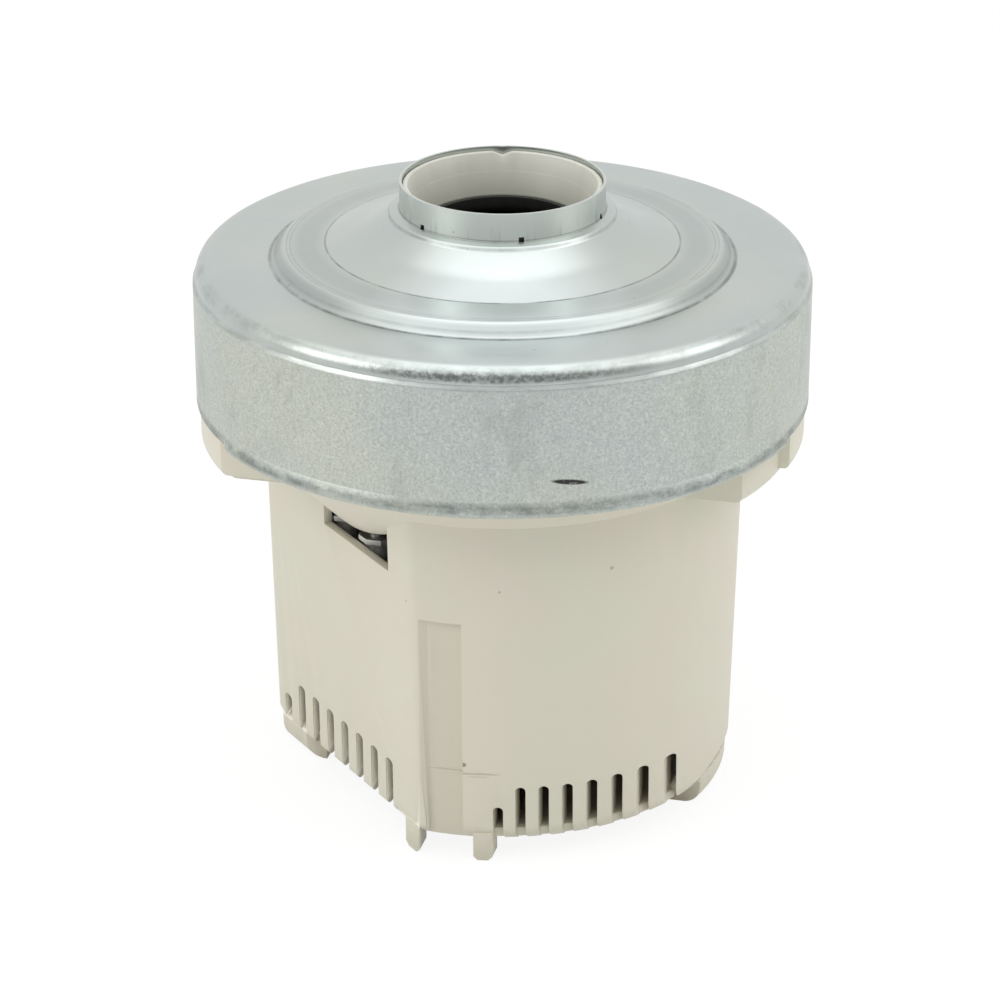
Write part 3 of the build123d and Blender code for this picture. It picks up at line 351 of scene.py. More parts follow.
def band(tree, value, centre, half):
    """1 in the middle third of a band of a value, falling to 0 at its limits."""
    away = absolute(tree, arithmetic(tree, "SUBTRACT", value, centre))
    return spread(tree, away, half, half * 0.35)


# Materials

def zinc_colour(tree, at, grain):
    """Zinc coat: bluish and smooth on the top, grainier, duller and yellower round the side; the top's front has
    painted light.

    Returned with the distance from the axis, the height, and masks of what is above the side and of the collar."""
    radius, height, _ = from_axis(tree)
    cloud = noise(tree, at, 26, 3)
    top = blend_colours(tree, spread(tree, cloud, 0.35, 0.65), linear(180, 188, 186), linear(187, 192, 187))
    side = blend_colours(tree, spread(tree, cloud, 0.38, 0.62), linear(183, 190, 185), linear(190, 193, 182))
    side = stained(tree, side, spread(tree, noise(tree, at, 17, 2), 0.5, 0.62, 0.0, 0.7), 180, 187, 188)
    side = stained(tree, side, times(tree, spread(tree, grain, 0.42, 0.72), 0.8), 212, 217, 209)
    pits = noise(tree, at, 2300, 2, 0.6)
    side = stained(tree, side, spread(tree, pits, 0.5, 0.68, 0.0, 0.5), 146, 152, 144)
    scuff = noise(tree, place(tree, (1.0, 1.0, 0.5)), 75, 4, 0.7)
    side = stained(tree, side, spread(tree, scuff, 0.55, 0.72, 0.0, 0.35), 146, 151, 144)
    above = spread(tree, height, SIDE_TOP - 0.6 * MM, SIDE_TOP + 0.8 * MM)
    colour = blend_colours(tree, above, side, top)
    colour = stained(tree, colour, times(tree, band(tree, radius, *RAISED_RING), above, 0.4), 150, 157, 154)
    # Painted light: the top's front is lightened where the collar shades its reflection
    painted_front_light = times(tree, spread(tree, mark(tree, "painted_front_light"), 0.1, 0.6), above)
    colour = stained(tree, colour, painted_front_light, 204, 212, 211)
    collar = times(tree, spread(tree, radius, COLLAR_RADIUS + 0.8 * MM, COLLAR_RADIUS + 0.2 * MM), above)
    colour = stained(tree, colour, times(tree, collar, 0.8), 200, 206, 201)
    return colour, radius, height, above, collar


def top_marks(tree, at, colour, radius, height, above):
    """Painted shade: broken lines in the creases, a line in the step, a streaky band on the outer edge and the ring's
    slope; a painted dark reflection on the front shoulder.
    """
    broken = spread(tree, noise(tree, at, 160, 3, 0.7), 0.3, 0.6, 0.25, 1.0)
    # Painted shade: dark broken lines in the top's creases
    creases = [times(tree, band(tree, radius, middle * MM, half * MM), share) for middle, half, share in CREASES]
    colour = stained(tree, colour, times(tree, either(tree, creases), broken, above), 112, 117, 114)
    # Painted shade: a dark broken line in the step under the shoulder's edge
    step_shade_noise = spread(tree, noise(tree, place(tree, (1.0, 1.0, 5.0)), 120, 4, 0.75), 0.42, 0.62)
    step = times(tree, band(tree, height, SIDE_TOP + 0.5 * MM, 1.0 * MM), step_shade_noise,
                 spread(tree, radius, COVER_SIDE - 2.5 * MM, COVER_SIDE - 1.5 * MM, 0.0, 0.3))
    colour = stained(tree, colour, step, 98, 101, 98)
    # Painted reflection: a dark mottled band on the front shoulder, where the room in front is reflected
    mottle = spread(tree, noise(tree, at, 1100, 2, 0.6), 0.4, 0.6, 0.35, 1.0)
    dull = times(tree, spread(tree, mark(tree, "painted_shoulder_reflection"), 0.1, 0.55), mottle, 0.8)
    colour = stained(tree, colour, dull, 92, 97, 93)
    # Painted shade on the outer edge's rounding, broken into patches
    grime = spread(tree, noise(tree, at, 130, 5, 0.8), 0.45, 0.62, 0.0, 0.4)
    colour = stained(tree, colour, times(tree, band(tree, radius, *OUTER_EDGE), above, grime), 140, 145, 139)
    # Painted shade on the raised ring's slope
    return stained(tree, colour, times(tree, band(tree, radius, *RING_SLOPE), above, 0.5), 140, 147, 145)


def side_marks(tree, at, colour, height, collar):
    """Upright scratches and a dark joint on the collar, the torn dark scratch, painted shade under the rim's bead
    mixed with dirt, and sparse dots.
    """
    upright = spread(tree, noise(tree, place(tree, (1.0, 1.0, 0.06)), 620, 3, 0.7), 0.52, 0.68)
    low = spread(tree, height, COLLAR_FOOT + 4.0 * MM, COLLAR_FOOT + 0.6 * MM)
    colour = stained(tree, colour, times(tree, upright, low, collar, 0.4), 128, 134, 130)
    joint = times(tree, band(tree, height, COLLAR_FOOT + 0.12 * MM, 0.3 * MM), collar, 0.6)
    colour = stained(tree, colour, joint, 84, 88, 86)
    torn = spread(tree, noise(tree, place(tree, (1.0, 1.0, 3.0)), 900, 2, 0.7), 0.22, 0.4)
    scratch = times(tree, spread(tree, mark(tree, "scratch", SCRATCH_TILT), 0.12, 0.4), torn)
    colour = stained(tree, colour, scratch, 62, 60, 58)
    # Painted shade under the rolled bead, which faces down, mixed with patchy dirt
    rim_dirt_and_shade = spread(tree, noise(tree, place(tree, (1.0, 1.0, 1.6)), 150, 4, 0.75), 0.36, 0.6, 0.15, 0.8)
    colour = stained(tree, colour, times(tree, band(tree, height, RIM_Z + 2.0 * MM, 1.7 * MM), rim_dirt_and_shade), 122, 128, 125)
    return stained(tree, colour, specks(tree, at, 140, 0.04, 0.7), 120, 124, 120)


def zinc_material():
    """Zinc-plated drawn steel, smooth on top and grainy round the side."""
    material, tree, shader = new_material("zinc_steel")
    at = place(tree)
    grain = noise(tree, at, 1300, 3, 0.7)
    colour, radius, height, above, collar = zinc_colour(tree, at, grain)
    colour = top_marks(tree, at, colour, radius, height, above)
    colour = side_marks(tree, at, colour, height, collar)
    tree.links.new(colour, shader.inputs["Base Color"])
    shader.inputs["Metallic"].default_value = 0.9
    mixed = tree.nodes.new("ShaderNodeMix")
    tree.links.new(above, mixed.inputs["Factor"])
    tree.links.new(spread(tree, grain, 0.3, 0.7, 0.4, 0.54), mixed.inputs["A"])
    tree.links.new(spread(tree, noise(tree, at, 70, 4, 0.6), 0.35, 0.7, 0.28, 0.38), mixed.inputs["B"])
    tree.links.new(mixed.outputs["Result"], shader.inputs["Roughness"])
    rolling = times(tree, noise(tree, at, 55, 2), 6.0)
    roughen(tree, shader, arithmetic(tree, "ADD", rolling, grain), 0.02 * MM, 0.35)
    return material


def moulded_material(name, colour, patch, roughness, speck=None, marks=None):
    """Moulded plastic: broad faint patches, a fine mould grain, sparse specks, and marks from a given function,
    handling marks and painted light and shade among them.
    """
    material, tree, shader = new_material(name)
    at = place(tree)
    cloud = noise(tree, at, 42, 3)
    mixed = blend_colours(tree, spread(tree, cloud, 0.38, 0.66), colour, patch)
    if speck:
        mixed = blend_colours(tree, specks(tree, at, 95, 0.035, 0.6), mixed, speck)
    if marks:
        mixed = marks(tree, mixed)
    tree.links.new(mixed, shader.inputs["Base Color"])
    shade = spread(tree, cloud, 0.3, 0.7, roughness - 0.05, roughness + 0.06)
    tree.links.new(shade, shader.inputs["Roughness"])
    roughen(tree, shader, noise(tree, at, 900, 2), 0.02 * MM, 0.25)
    shader.inputs["Specular IOR Level"].default_value = 0.42
    return material


def seal_marks(tree, colour):
    """A painted highlight line where the mouth turns steeper, grime, painted shade deeper down, and the outside in
    the collar's shade.
    """
    radius, height, _ = from_axis(tree)
    # Painted highlight: a faint light line where the mouth turns steeper
    broken = spread(tree, noise(tree, place(tree), 140, 3, 0.7), 0.4, 0.6, 0.1, 0.6)
    line = times(tree, band(tree, height, SEAL_TOP - 4.0 * MM, 0.22 * MM), broken)
    colour = stained(tree, colour, line, 222, 221, 214)
    grime = spread(tree, noise(tree, place(tree, (1.0, 1.0, 0.3)), 90, 3), 0.45, 0.7, 0.0, 0.35)
    colour = stained(tree, colour, grime, 160, 160, 148)
    # Painted shade, darker towards the throat
    painted_depth_shade = spread(tree, height, SEAL_TOP - 1.0 * MM, SEAL_TOP - 8.0 * MM, 0.0, 0.75)
    colour = stained(tree, colour, painted_depth_shade, 146, 147, 134)
    outside = times(tree, spread(tree, radius, SEAL_RADIUS - 0.65 * MM, SEAL_RADIUS - 0.45 * MM),
                    spread(tree, height, SEAL_TOP - 2 * MM, SEAL_TOP - 4 * MM))
    return stained(tree, colour, outside, 52, 54, 50)


def burr_glints(tree, colour, radius, height):
    """Painted glints: bright specks on the burrs of the front slots' walls, where the moulding was broken out."""
    normal = tree.nodes.new("ShaderNodeNewGeometry").outputs["Normal"]
    wall = spread(tree, absolute(tree, dot_product(tree, position(tree), normal)), 26 * MM, 18 * MM)
    near = times(tree, spread(tree, radius, WALL_RADIUS - 1.3 * MM, WALL_RADIUS - 0.7 * MM),
                 spread(tree, height, COMB_TOP + 2 * MM, COMB_TOP))
    torn = spread(tree, noise(tree, place(tree), 1500, 2, 0.7), 0.6, 0.66)
    # painted glints on the burrs
    return stained(tree, colour, times(tree, wall, near, torn), 255, 255, 250)


def comb_marks(tree, colour, radius, height, parts):
    """Dust inside the combs and on the feet, painted light on the walls of the flats' slots, and painted glints on
    burrs.
    """
    width, depth = absolute(tree, parts["X"]), absolute(tree, parts["Y"])
    dust = spread(tree, noise(tree, place(tree), 190, 3), 0.35, 0.6, 0.5, 1.0)
    inside = times(tree, spread(tree, radius, 50.2 * MM, 48.5 * MM, 0.0, 0.3),
                   spread(tree, width, 39.6 * MM, 38.6 * MM))
    colour = stained(tree, colour, times(tree, inside, dust), 170, 156, 124)
    foot = spread(tree, height, 9 * MM, 1 * MM, 0.0, 0.3)
    colour = stained(tree, colour, times(tree, foot, dust), 168, 160, 140)
    # Painted light: the walls of the flats' slots are lightened where the opposite wall shades them
    painted_slot_light = times(tree, spread(tree, width, 34.0 * MM, 36.0 * MM), spread(tree, width, 41.0 * MM, 40.8 * MM),
                 spread(tree, height, COMB_TOP, COMB_TOP - 2 * MM), spread(tree, depth, 32.5 * MM, 31.5 * MM),
                 spread(tree, height, FLOOR_TOP - 1.0 * MM, FLOOR_TOP))
    colour = stained(tree, colour, painted_slot_light, 252, 250, 240)
    return burr_glints(tree, colour, radius, height)


def housing_marks(tree, colour):
    """Painted shade in the channels, the combs' marks, and a rubbed line, a nick and a spot on the front."""
    radius, height, parts = from_axis(tree)
    across = times(tree, arithmetic(tree, "SUBTRACT", parts["X"], parts["Y"]), math.sqrt(0.5))
    ahead = arithmetic(tree, "ADD", parts["X"], parts["Y"])
    # Painted shade in the channels' recess
    painted_channel_shade = times(tree, spread(tree, absolute(tree, across), CHANNEL_HALF, CHANNEL_HALF - 1.0 * MM, 0.0, 0.6),
                    spread(tree, height, CHANNEL_TOP, CHANNEL_TOP - 1.0 * MM),
                    spread(tree, absolute(tree, ahead), 62 * MM, 66 * MM))
    colour = stained(tree, colour, painted_channel_shade, 203, 196, 179)
    colour = comb_marks(tree, colour, radius, height, parts)
    thin = spread(tree, noise(tree, place(tree, (0.4, 0.4, 9.0)), 260, 2), 0.5, 0.6)
    rubbed = times(tree, spread(tree, mark(tree, "rubbed_line"), 0.1, 0.5, 0.0, 0.5), thin)
    colour = stained(tree, colour, rubbed, 160, 146, 122)
    colour = stained(tree, colour, spread(tree, mark(tree, "nick"), 0.2, 0.5, 0.0, 0.8), 120, 108, 88)
    return stained(tree, colour, spread(tree, mark(tree, "spot"), 0.2, 0.5, 0.0, 0.6), 150, 140, 118)


def metal_material(name, colour, dark, roughness, stretch=(1.0, 1.0, 1.0), metallic=1.0):
    """Bare or plated metal: streaks along one direction and stained patches."""
    material, tree, shader = new_material(name)
    streak = noise(tree, place(tree, stretch), 400, 3)
    stain = noise(tree, place(tree), 130, 2)
    mixed = blend_colours(tree, spread(tree, streak, 0.35, 0.7), colour, dark)
    mixed = blend_colours(tree, spread(tree, stain, 0.55, 0.8, 0.0, 0.5), mixed, dark)
    tree.links.new(mixed, shader.inputs["Base Color"])
    shader.inputs["Metallic"].default_value = metallic
    shade = spread(tree, streak, 0.3, 0.7, roughness - 0.07, roughness + 0.1)
    tree.links.new(shade, shader.inputs["Roughness"])
    roughen(tree, shader, streak, 0.02 * MM, 0.3)
    return material


def finished_metal(material, tree, shader, colour, metallic, roughness, height, depth, strength):
    """Gives a shader its colour, its metal and its bump, and returns the material."""
    tree.links.new(colour, shader.inputs["Base Color"])
    shader.inputs["Metallic"].default_value = metallic
    shader.inputs["Roughness"].default_value = roughness
    roughen(tree, shader, height, depth, strength)
    return material


def sheared_material(name, colour, edge):
    """Stamped sheet: dull flat faces, bright cut edges round them."""
    material, tree, shader = new_material(name)
    stain = noise(tree, place(tree), 150, 3)
    normal = tree.nodes.new("ShaderNodeNewGeometry").outputs["Normal"]
    flat = spread(tree, absolute(tree, parts_of(tree, normal)["Z"]), 0.3, 0.8)
    dull = stained(tree, colour, spread(tree, stain, 0.4, 0.7, 0.0, 0.5), 104, 98, 84)
    sheet = blend_colours(tree, flat, edge, dull)
    return finished_metal(material, tree, shader, sheet, 0.4, 0.35, stain, 0.02 * MM, 0.3)


def lamination_material():
    """Edges of stacked sheets under varnish."""
    material, tree, shader = new_material("lamination_steel")
    wave = layers(tree, "Z", 320, 0.4)
    stain = noise(tree, place(tree), 160, 3)
    sheet = blend_colours(tree, spread(tree, stain, 0.4, 0.7), linear(150, 152, 156), linear(118, 108, 98))
    colour = blend_colours(tree, spread(tree, wave, 0.0, 0.3), linear(60, 58, 56), sheet)
    return finished_metal(material, tree, shader, colour, 0.8, 0.42, wave, 0.05 * MM, 0.5)


def wire_material():
    """Enamelled copper wire wound in turns, with varnish over it and painted shade in the grooves between the turns.
    """
    material, tree, shader = new_material("enamelled_wire")
    wave = layers(tree, "Y", 420, 1.2, 1.0)
    patch = noise(tree, place(tree), 210, 3)
    top = blend_colours(tree, spread(tree, patch, 0.4, 0.7), linear(176, 92, 46), linear(140, 66, 34))
    # Painted shade: dark copper in the grooves between the turns
    colour = blend_colours(tree, spread(tree, wave, 0.0, 0.4), linear(62, 26, 14), top)
    return finished_metal(material, tree, shader, colour, 0.35, 0.3, wave, 0.12 * MM, 0.8)


def make_materials():
    """One material for each slot of the record."""
    made = {
        "zinc_steel": zinc_material(),
        "grey_steel": sheared_material("grey_steel", linear(146, 142, 128), linear(242, 242, 236)),
        "lamination_steel": lamination_material(),
        "enamelled_wire": wire_material(),
    }
    moulded = {
        "cream_plastic": ((211, 209, 191), (214, 208, 192), 0.5, linear(140, 130, 108), housing_marks),
        "white_plastic": ((206, 205, 197), (200, 199, 188), 0.4, None, seal_marks),
        "black_plastic": ((30, 31, 30), (42, 42, 40), 0.45),
        "brown_plastic": ((84, 62, 44), (70, 50, 36), 0.5),
        "bobbin_plastic": ((205, 200, 182), (196, 190, 170), 0.5),
    }
    for name, (colour, patch, *rest) in moulded.items():
        made[name] = moulded_material(name, linear(*colour), linear(*patch), *rest)
    metals = {
        "bright_steel": ((205, 205, 203), (170, 170, 168), 0.28, (1.0, 1.0, 0.2)),
        "bearing_steel": ((214, 214, 216), (188, 188, 190), 0.16),
        "copper": ((206, 138, 104), (160, 92, 62), 0.3),
        "brass": ((206, 176, 112), (160, 130, 74), 0.3),
        "carbon": ((62, 62, 64), (40, 40, 42), 0.6, (1.0, 1.0, 1.0), 0.3),
    }
    for name, (colour, dark, *rest) in metals.items():
        made[name] = metal_material(name, linear(*colour), linear(*dark), *rest)
    return made


def dress_nodes(materials):
    """Gives every CAD node the material of its slot."""
    for entry in frame["record"]["subparts"]:
        node = frame["nodes"][entry["node"]]
        node.data.materials.clear()
        node.data.materials.append(materials[entry["material_slot"]])


# Shapes

def rounded_profile(corners, radii, steps, spacing):
    """Points along a line of corners, each inner corner replaced by an arc of its radius and the straights divided
    evenly: the arc's centre lies on the corner's half angle, so far out that the arc touches both sides."""
    corners = [np.array(corner, float) for corner in corners]
    points = [corners[0]]
    for before, corner, after, radius in zip(corners, corners[1:], corners[2:], radii):
        back = (before - corner) / np.linalg.norm(before - corner)
        ahead = (after - corner) / np.linalg.norm(after - corner)
        half = math.acos(np.clip(np.dot(back, ahead), -1, 1)) / 2
        inset = radius / math.tan(half)
        centre = corner + (back + ahead) / np.linalg.norm(back + ahead) * radius / math.sin(half)
        start = corner + back * inset - centre
        end = corner + ahead * inset - centre
        turn = math.atan2(start[0] * end[1] - start[1] * end[0], np.dot(start, end))
        for angle in np.linspace(0, turn, steps):
            spin = np.array([[math.cos(angle), -math.sin(angle)], [math.sin(angle), math.cos(angle)]])
            points.append(centre + spin @ start)
    points.append(corners[-1])
    filled = [points[0]]
    for first, second in zip(points, points[1:]):
        count = max(1, int(np.linalg.norm(second - first) / spacing))
        filled.extend(first + (second - first) * step / count for step in range(1, count + 1))
    return np.array(filled)


def grid_faces(rows, columns, closed=True):
    """Quads between the rows and columns of a grid; a closed grid joins its last column to its first."""
    row, column = np.meshgrid(np.arange(rows - 1), np.arange(columns if closed else columns - 1), indexing="ij")
    after = (column + 1) % columns
    return np.stack([row * columns + column, row * columns + after, (row + 1) * columns + after,
                     (row + 1) * columns + column], -1).reshape(-1, 4)


def turned(radius, bearing, z):
    """Points carried round the axis: X is the radius times the bearing's sine, Y is minus that times its cosine."""
    return np.stack(np.broadcast_arrays(radius * np.sin(bearing), -radius * np.cos(bearing), z), -1)


def turn_away(bearing, first, pitch):
    """Angle between a bearing and the nearest one of a row of bearings that starts at the first, a pitch apart."""
    return np.abs(np.mod(bearing - first + pitch / 2, pitch) - pitch / 2)


def mesh_object(name, points, faces, material):
    """Smooth object from arrays of points and faces, riding on the motor's frame."""
    mesh = bpy.data.meshes.new(name)
    mesh.from_pydata(points.reshape(-1, 3), [], faces)
    mesh.polygons.foreach_set("use_smooth", np.full(len(mesh.polygons), True))
    mesh.materials.append(material)
    mesh.update()
    piece = bpy.data.objects.new(name, mesh)
    bpy.context.scene.collection.objects.link(piece)
    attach(piece, "motor_frame")
    return piece


def smooth_step(value, low, high):
    """0 below low, 1 above high, a smooth rise between."""
    share = np.clip((value - low) / (high - low), 0, 1)
    return share * share * (3 - 2 * share)


def crimp_share(bearing):
    """1 where the rim is rolled, 0 in the two plain stretches, with short smooth ends."""
    away = turn_away(bearing, PLAIN_START + PLAIN_SPAN / 2, math.pi)
    return smooth_step(away, PLAIN_SPAN / 2 - PLAIN_BLEND, PLAIN_SPAN / 2 + PLAIN_BLEND)


def cover_profile():
    """Outside of the cover from its side above the bead up to the collar's edge, rounded at its corners, with rows of
    points at the heights where the collar's windows begin and end."""
    outline = np.array(COVER_OUTSIDE) * MM
    line = rounded_profile(outline[:, :2], outline[1:-1, 2], steps=6, spacing=4 * MM)
    first_row, end = COLLAR_FOOT + WINDOW_ROWS[0], COLLAR_FOOT + WINDOW_ROWS_END
    line = line[(line[:, 0] > COLLAR_RADIUS + 0.001 * MM) | (line[:, 1] < first_row) | (line[:, 1] > end)]
    last = np.nonzero(line[:, 1] < first_row)[0][-1]
    return np.insert(line, last + 1, [(COLLAR_RADIUS, COLLAR_FOOT + rise) for rise in WINDOW_ROWS], axis=0)


def bead_offsets(count=22):
    """Radius offsets and heights of the rim: a gentle flare, the rolled bead turned under, and the curled lip.

    Both are straight lines between the points of BEAD_SWELL and BEAD_HEIGHT, smoothed twice."""
    share = np.linspace(0, 1, count)
    height = np.interp(share, *zip(*BEAD_HEIGHT)) * MM
    offset = np.interp(share, *zip(*BEAD_SWELL)) * MM
    for _ in range(2):
        height[1:-1] = (height[:-2] + 2 * height[1:-1] + height[2:]) / 4
        offset[1:-1] = (offset[:-2] + 2 * offset[1:-1] + offset[2:]) / 4
    return offset, height


def settled(piece, angle=40.0):
    """Bakes a piece's modifiers into its mesh and keeps its sharp edges sharp."""
    bpy.context.view_layer.update()
    done = bpy.data.meshes.new_from_object(piece.evaluated_get(bpy.context.evaluated_depsgraph_get()))
    piece.modifiers.clear()
    piece.data = done
    done.polygons.foreach_set("use_smooth", np.full(len(done.polygons), True))
    done.set_sharp_from_angle(angle=math.radians(angle))
    return done


def window_faces(points, faces):
    """True for the faces that lie in the windows at the collar's foot."""
    middle = points.reshape(-1, 3)[faces].mean(1)
    away = turn_away(np.arctan2(middle[:, 0], -middle[:, 1]), WINDOW_BEARING, WINDOW_PITCH) * COLLAR_RADIUS
    inside = (away < WINDOW_HALF) & (np.hypot(middle[:, 0], middle[:, 1]) < WINDOW_OUT)
    return inside & (middle[:, 2] > WINDOW_LOW) & (middle[:, 2] < WINDOW_HIGH)


def make_cover(material):
    """Drawn cover. Columns go round by bearing, rows go along the profile from the curled lip to the collar's edge.

    Radius and height are the profile's. In the plain stretches the rim is straight and ends higher. Two small waves,
    of three and seven crests, move the side's radius, and the three stakes push the collar's edge inwards."""
    columns = 480
    bearing = np.linspace(0, 2 * math.pi, columns, endpoint=False)[None, :]
    profile = cover_profile()
    offset, height = bead_offsets()
    rolled = crimp_share(bearing)
    plain_height = np.linspace(RIM_RISE, PLAIN_RISE, len(offset))[:, None] * MM
    low_radius = COVER_SIDE + offset[:, None] * rolled
    low_height = RIM_Z + height[:, None] * rolled + plain_height * (1 - rolled)
    radius = np.vstack([low_radius[::-1], np.repeat(profile[:, :1], columns, 1)])
    z = np.vstack([low_height[::-1], np.repeat(profile[:, 1:], columns, 1)])
    away = turn_away(bearing, STAKE_BEARING, STAKE_PITCH) * COLLAR_RADIUS
    rise = np.clip(1 - np.abs(z - (COVER_TOP - STAKE_DROP)) / STAKE_REACH, 0, 1)
    stake = np.clip(1 - away / STAKE_HALF, 0, 1) * rise * (radius < COLLAR_RADIUS + MM)
    wave = np.sin(3 * bearing + 0.7) * 0.04 * MM + np.sin(7 * bearing) * 0.02 * MM
    radius = radius + wave * smooth_step(radius, 60 * MM, 66 * MM) * rolled - stake * STAKE_DEPTH
    points = turned(radius, bearing, z)
    faces = grid_faces(len(radius), columns)
    cover = mesh_object("drawn_cover", points, faces[~window_faces(points, faces)], material)
    wall = cover.modifiers.new("sheet", "SOLIDIFY")
    wall.thickness = COVER_WALL
    wall.offset = -1
    settled(cover)
    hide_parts("fan_cover")


def make_seal_ring(material):
    """Seal ring: a rounded outline turned about the axis, columns by bearing and rows along the outline; the height
    of its upper edge dips where the collar is staked."""
    columns = 240
    bearing = np.linspace(0, 2 * math.pi, columns, endpoint=False)[None, :]
    top, outer, low = SEAL_TOP / MM, SEAL_RADIUS / MM, SEAL_TOP / MM - SEAL_HEIGHT
    flange = COLLAR_FOOT / MM - SEAL_FLANGE_DROP
    under = flange - SEAL_FLANGE_WALL
    corners = [(SEAL_FOOT, low), (SEAL_THROAT, low), (SEAL_THROAT, low + SEAL_LIP), (outer - SEAL_LIP, top),
               (outer, top), (outer, flange), (SEAL_FLANGE, flange), (SEAL_FLANGE, under), (outer, under),
               (outer, low), (SEAL_FOOT, low)]
    radii = [0.3, 0.6, 0.45, 0.3, 0.15, 0.2, 0.2, 0.15, 0.3]
    profile = rounded_profile(np.array(corners) * MM, np.array(radii) * MM, steps=5, spacing=2 * MM)[:-1]
    away = turn_away(bearing, STAKE_BEARING, STAKE_PITCH) * SEAL_RADIUS
    dip = np.clip(1 - away / DIP_HALF, 0, 1) * smooth_step(profile[:, 1:], SEAL_TOP - DIP_REACH, SEAL_TOP)
    points = turned(profile[:, :1], bearing, profile[:, 1:] - dip * DIP_DEPTH)
    column = np.arange(columns)
    after = (column + 1) % columns
    last = (len(profile) - 1) * columns
    closing = np.stack([last + column, last + after, after, column], -1)
    faces = np.vstack([grid_faces(len(profile), columns), closing])[:, ::-1]
    ring = mesh_object("turned_seal_ring", points, faces, material)
    ring.data.set_sharp_from_angle(angle=math.radians(50))
    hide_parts("inlet_seal_ring")


def make_comb_rails(material):
    """Rail behind the front and back combs: a rounded outline carried round the axis from bearing to bearing."""
    top = FLOOR_TOP / MM + RAIL_RISE
    corners = np.array([(RAIL_INNER, RAIL_LOW), (RAIL_OUTER, RAIL_LOW), (RAIL_OUTER, top), (RAIL_INNER, top),
                        (RAIL_INNER, RAIL_LOW)])
    profile = rounded_profile(corners * MM, np.array([0.9, 0.3, 0.2]) * MM, steps=5, spacing=3 * MM)[:-1]
    rows, count = 60, len(profile)
    faces = [list(face) for face in grid_faces(rows, count)]
    faces += [list(range(count))[::-1], list(range((rows - 1) * count, rows * count))]
    for letter, turn in (("a", 0.0), ("b", math.pi)):
        bearing = np.linspace(*RAIL_BEARINGS, rows)[:, None] + turn
        points = turned(profile[:, 0], bearing, profile[None, :, 1])
        rail = mesh_object("comb_rail_" + letter, points, faces, material)
        rail.data.set_sharp_from_angle(angle=math.radians(40))


def ramp_channels(mesh):
    """Moves the left upper edge of both channels round the wall, so that a soft ramp leads down into them: the
    distance across grows, and the distance along is what keeps the point on the wall's radius at its height."""
    at = np.empty(len(mesh.vertices) * 3)
    mesh.vertices.foreach_get("co", at)
    at = at.reshape(-1, 3)
    across = (at[:, 0] - at[:, 1]) * math.sqrt(0.5)
    along = (at[:, 0] + at[:, 1]) * math.sqrt(0.5)
    wall = WALL_RADIUS + math.tan(DRAFT) * (at[:, 2] - WALL_FOOT)
    chosen = (np.abs(np.abs(across) - CHANNEL_HALF) < 0.05 * MM) & (np.hypot(across, along) > wall - 0.2 * MM)
    chosen &= (across * along > 0) & (at[:, 2] < CHANNEL_TOP)
    across[chosen] += np.sign(across[chosen]) * CHANNEL_RAMP
    along[chosen] = np.sign(along[chosen]) * np.sqrt(wall[chosen] ** 2 - across[chosen] ** 2)
    at[:, 0], at[:, 1] = (along + across) * math.sqrt(0.5), (along - across) * math.sqrt(0.5)
    mesh.vertices.foreach_set("co", at.ravel())
    mesh.update()


def welded_copy(node, name):
    """Copy of a CAD piece with a modifier that merges its doubled points."""
    piece = bpy.data.objects.new(name, frame["nodes"][node].data.copy())
    bpy.context.scene.collection.objects.link(piece)
    weld = piece.modifiers.new("weld", "WELD")
    weld.merge_threshold = WELD
    return piece


def stand_in(piece, mesh, node, material):
    """Puts a finished copy in the place of its node, on the motor's frame."""
    mesh.materials.clear()
    mesh.materials.append(material)
    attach(piece, "motor_frame")
    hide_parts(node)


def make_housing(material):
    """Copy of the housing with flat faces merged, a ramp beside each channel, and its sharp edges rounded."""
    angle = 30.0
    piece = welded_copy("motor_housing", "moulded_housing")
    piece.data.name = "moulded_housing"
    flat = piece.modifiers.new("flat", "DECIMATE")
    flat.decimate_type = "DISSOLVE"
    flat.angle_limit = FLAT_ANGLE
    ramp_channels(settled(piece, angle))
    round_edges = piece.modifiers.new("round", "BEVEL")
    round_edges.width = EDGE_ROUND
    round_edges.segments = 3
    round_edges.limit_method = "ANGLE"
    round_edges.angle_limit = math.radians(angle)
    round_edges.use_clamp_overlap = True
    stand_in(piece, settled(piece, angle), "motor_housing", material)


def make_closing(node, material):
    """Welded copy of a spring or lead, baked and put in the place of its node."""
    piece = welded_copy(node, "closing_" + node)
    stand_in(piece, settled(piece), node, material)
    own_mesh(piece)


def make_brush_gear(materials):
    """The springs and leads of both brushes."""
    for letter, sign in (("a", -1), ("b", 1)):
        for kind, slot in (("spring", "bright_steel"), ("lead", "copper")):
            make_closing(f"brush_{kind}_{letter}", materials[slot])


# Room

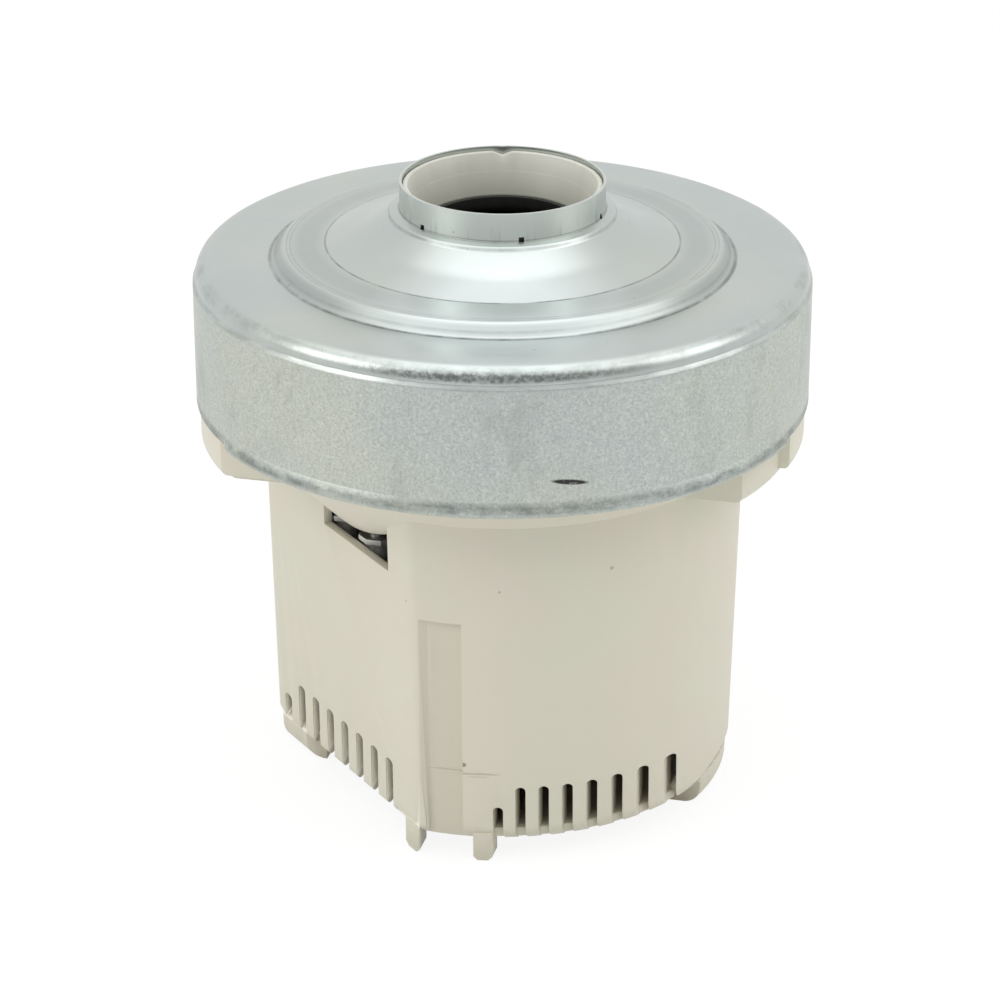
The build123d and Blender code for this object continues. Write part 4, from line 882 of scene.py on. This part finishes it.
def make_floor():
    """White floor that keeps a faint shadow; the camera and mirrors see mostly its own glow."""
    height = GROUND - FLOOR_GAP
    corners = [(x * FLOOR_HALF, y * FLOOR_HALF, height) for x, y in ((-1, -1), (1, -1), (1, 1), (-1, 1))]
    mesh = bpy.data.meshes.new("floor")
    mesh.from_pydata(corners, [], [(0, 1, 2, 3)])
    floor = bpy.data.objects.new("floor", mesh)
    bpy.context.scene.collection.objects.link(floor)
    material, tree, shader = new_material("floor_white")
    shader.inputs["Base Color"].default_value = (FLOOR_WHITE, FLOOR_WHITE, FLOOR_WHITE, 1.0)
    shader.inputs["Roughness"].default_value = 0.9
    shader.inputs["Specular IOR Level"].default_value = 0.0
    glow = tree.nodes.new("ShaderNodeEmission")
    glow.inputs["Strength"].default_value = FLOOR_GLOW
    path = tree.nodes.new("ShaderNodeLightPath")
    rays = [path.outputs[name] for name in ("Is Camera Ray", "Is Glossy Ray", "Is Transmission Ray")]
    mix = tree.nodes.new("ShaderNodeMixShader")
    tree.links.new(times(tree, either(tree, rays), FLOOR_SEEN), mix.inputs["Fac"])
    tree.links.new(shader.outputs["BSDF"], mix.inputs[1])
    tree.links.new(glow.outputs["Emission"], mix.inputs[2])
    output = next(node for node in tree.nodes if node.type == "OUTPUT_MATERIAL")
    tree.links.new(mix.outputs["Shader"], output.inputs["Surface"])
    mesh.materials.append(material)


def make_world():
    """White for the camera and through glass, dimmer in front for mirrors, and a graded room for all other light."""
    world = bpy.data.worlds.new("studio")
    bpy.context.scene.world = world
    world.use_nodes = True
    tree = world.node_tree
    tree.nodes.clear()
    toward = tree.nodes.new("ShaderNodeTexCoord").outputs["Generated"]
    ahead = dot_product(tree, toward, at_bearing(1.0, math.radians(CAMERA_AZIMUTH), 0.0))
    level = spread(tree, ahead, 0.1, 0.6, ROOM_BACK, ROOM_FRONT)
    above = spread(tree, parts_of(tree, toward)["Z"], 0.86, 0.97, 0.0, ROOM_TOP)
    mirrored = spread(tree, ahead, 0.0, 0.7, 1.0, MIRROR_FRONT)
    path = tree.nodes.new("ShaderNodeLightPath")
    clear = [path.outputs["Is Camera Ray"], path.outputs["Is Transmission Ray"]]
    mix = tree.nodes.new("ShaderNodeMixShader")
    tree.links.new(either(tree, [*clear, path.outputs["Is Glossy Ray"]]), mix.inputs["Fac"])
    for number, strength in ((1, either(tree, [level, above])), (2, either(tree, [*clear, mirrored]))):
        light = tree.nodes.new("ShaderNodeBackground")
        light.inputs["Color"].default_value = (1, 1, 1, 1)
        tree.links.new(strength, light.inputs["Strength"])
        tree.links.new(light.outputs["Background"], mix.inputs[number])
    output = tree.nodes.new("ShaderNodeOutputWorld")
    tree.links.new(mix.outputs["Shader"], output.inputs["Surface"])


def aimed(name, data, azimuth, elevation, distance):
    """Lamp or camera that looks at the motor from an azimuth and an elevation in degrees."""
    thing = bpy.data.objects.new(name, data)
    bpy.context.scene.collection.objects.link(thing)
    turn, lift = math.radians(azimuth), math.radians(elevation)
    back = Vector((math.sin(turn) * math.cos(lift), -math.cos(turn) * math.cos(lift), math.sin(lift)))
    thing.location = CAMERA_AIM + back * distance
    thing.rotation_mode = "QUATERNION"
    thing.rotation_quaternion = (-back).to_track_quat("-Z", "Y")
    return thing


def make_lamps():
    """Large soft square lamps: one overhead, one from the upper right, one from the left front."""
    for name, (azimuth, elevation, distance, size, power) in LAMPS.items():
        lamp = bpy.data.lights.new(name, "AREA")
        lamp.size = size
        lamp.energy = power
        aimed(name, lamp, azimuth, elevation, distance)


def make_camera():
    """The photograph's camera."""
    data = bpy.data.cameras.new("camera")
    data.lens = CAMERA_LENS
    data.sensor_width = SENSOR
    bpy.context.scene.camera = aimed("camera", data, CAMERA_AZIMUTH, CAMERA_ELEVATION, CAMERA_DISTANCE)


materials = make_materials()
dress_nodes(materials)
make_cover(materials["zinc_steel"])
make_seal_ring(materials["white_plastic"])
make_housing(materials["cream_plastic"])
make_comb_rails(materials["cream_plastic"])
make_brush_gear(materials)
make_floor()
make_world()
make_lamps()
make_camera()
bpy.context.scene.view_settings.view_transform = "Standard"
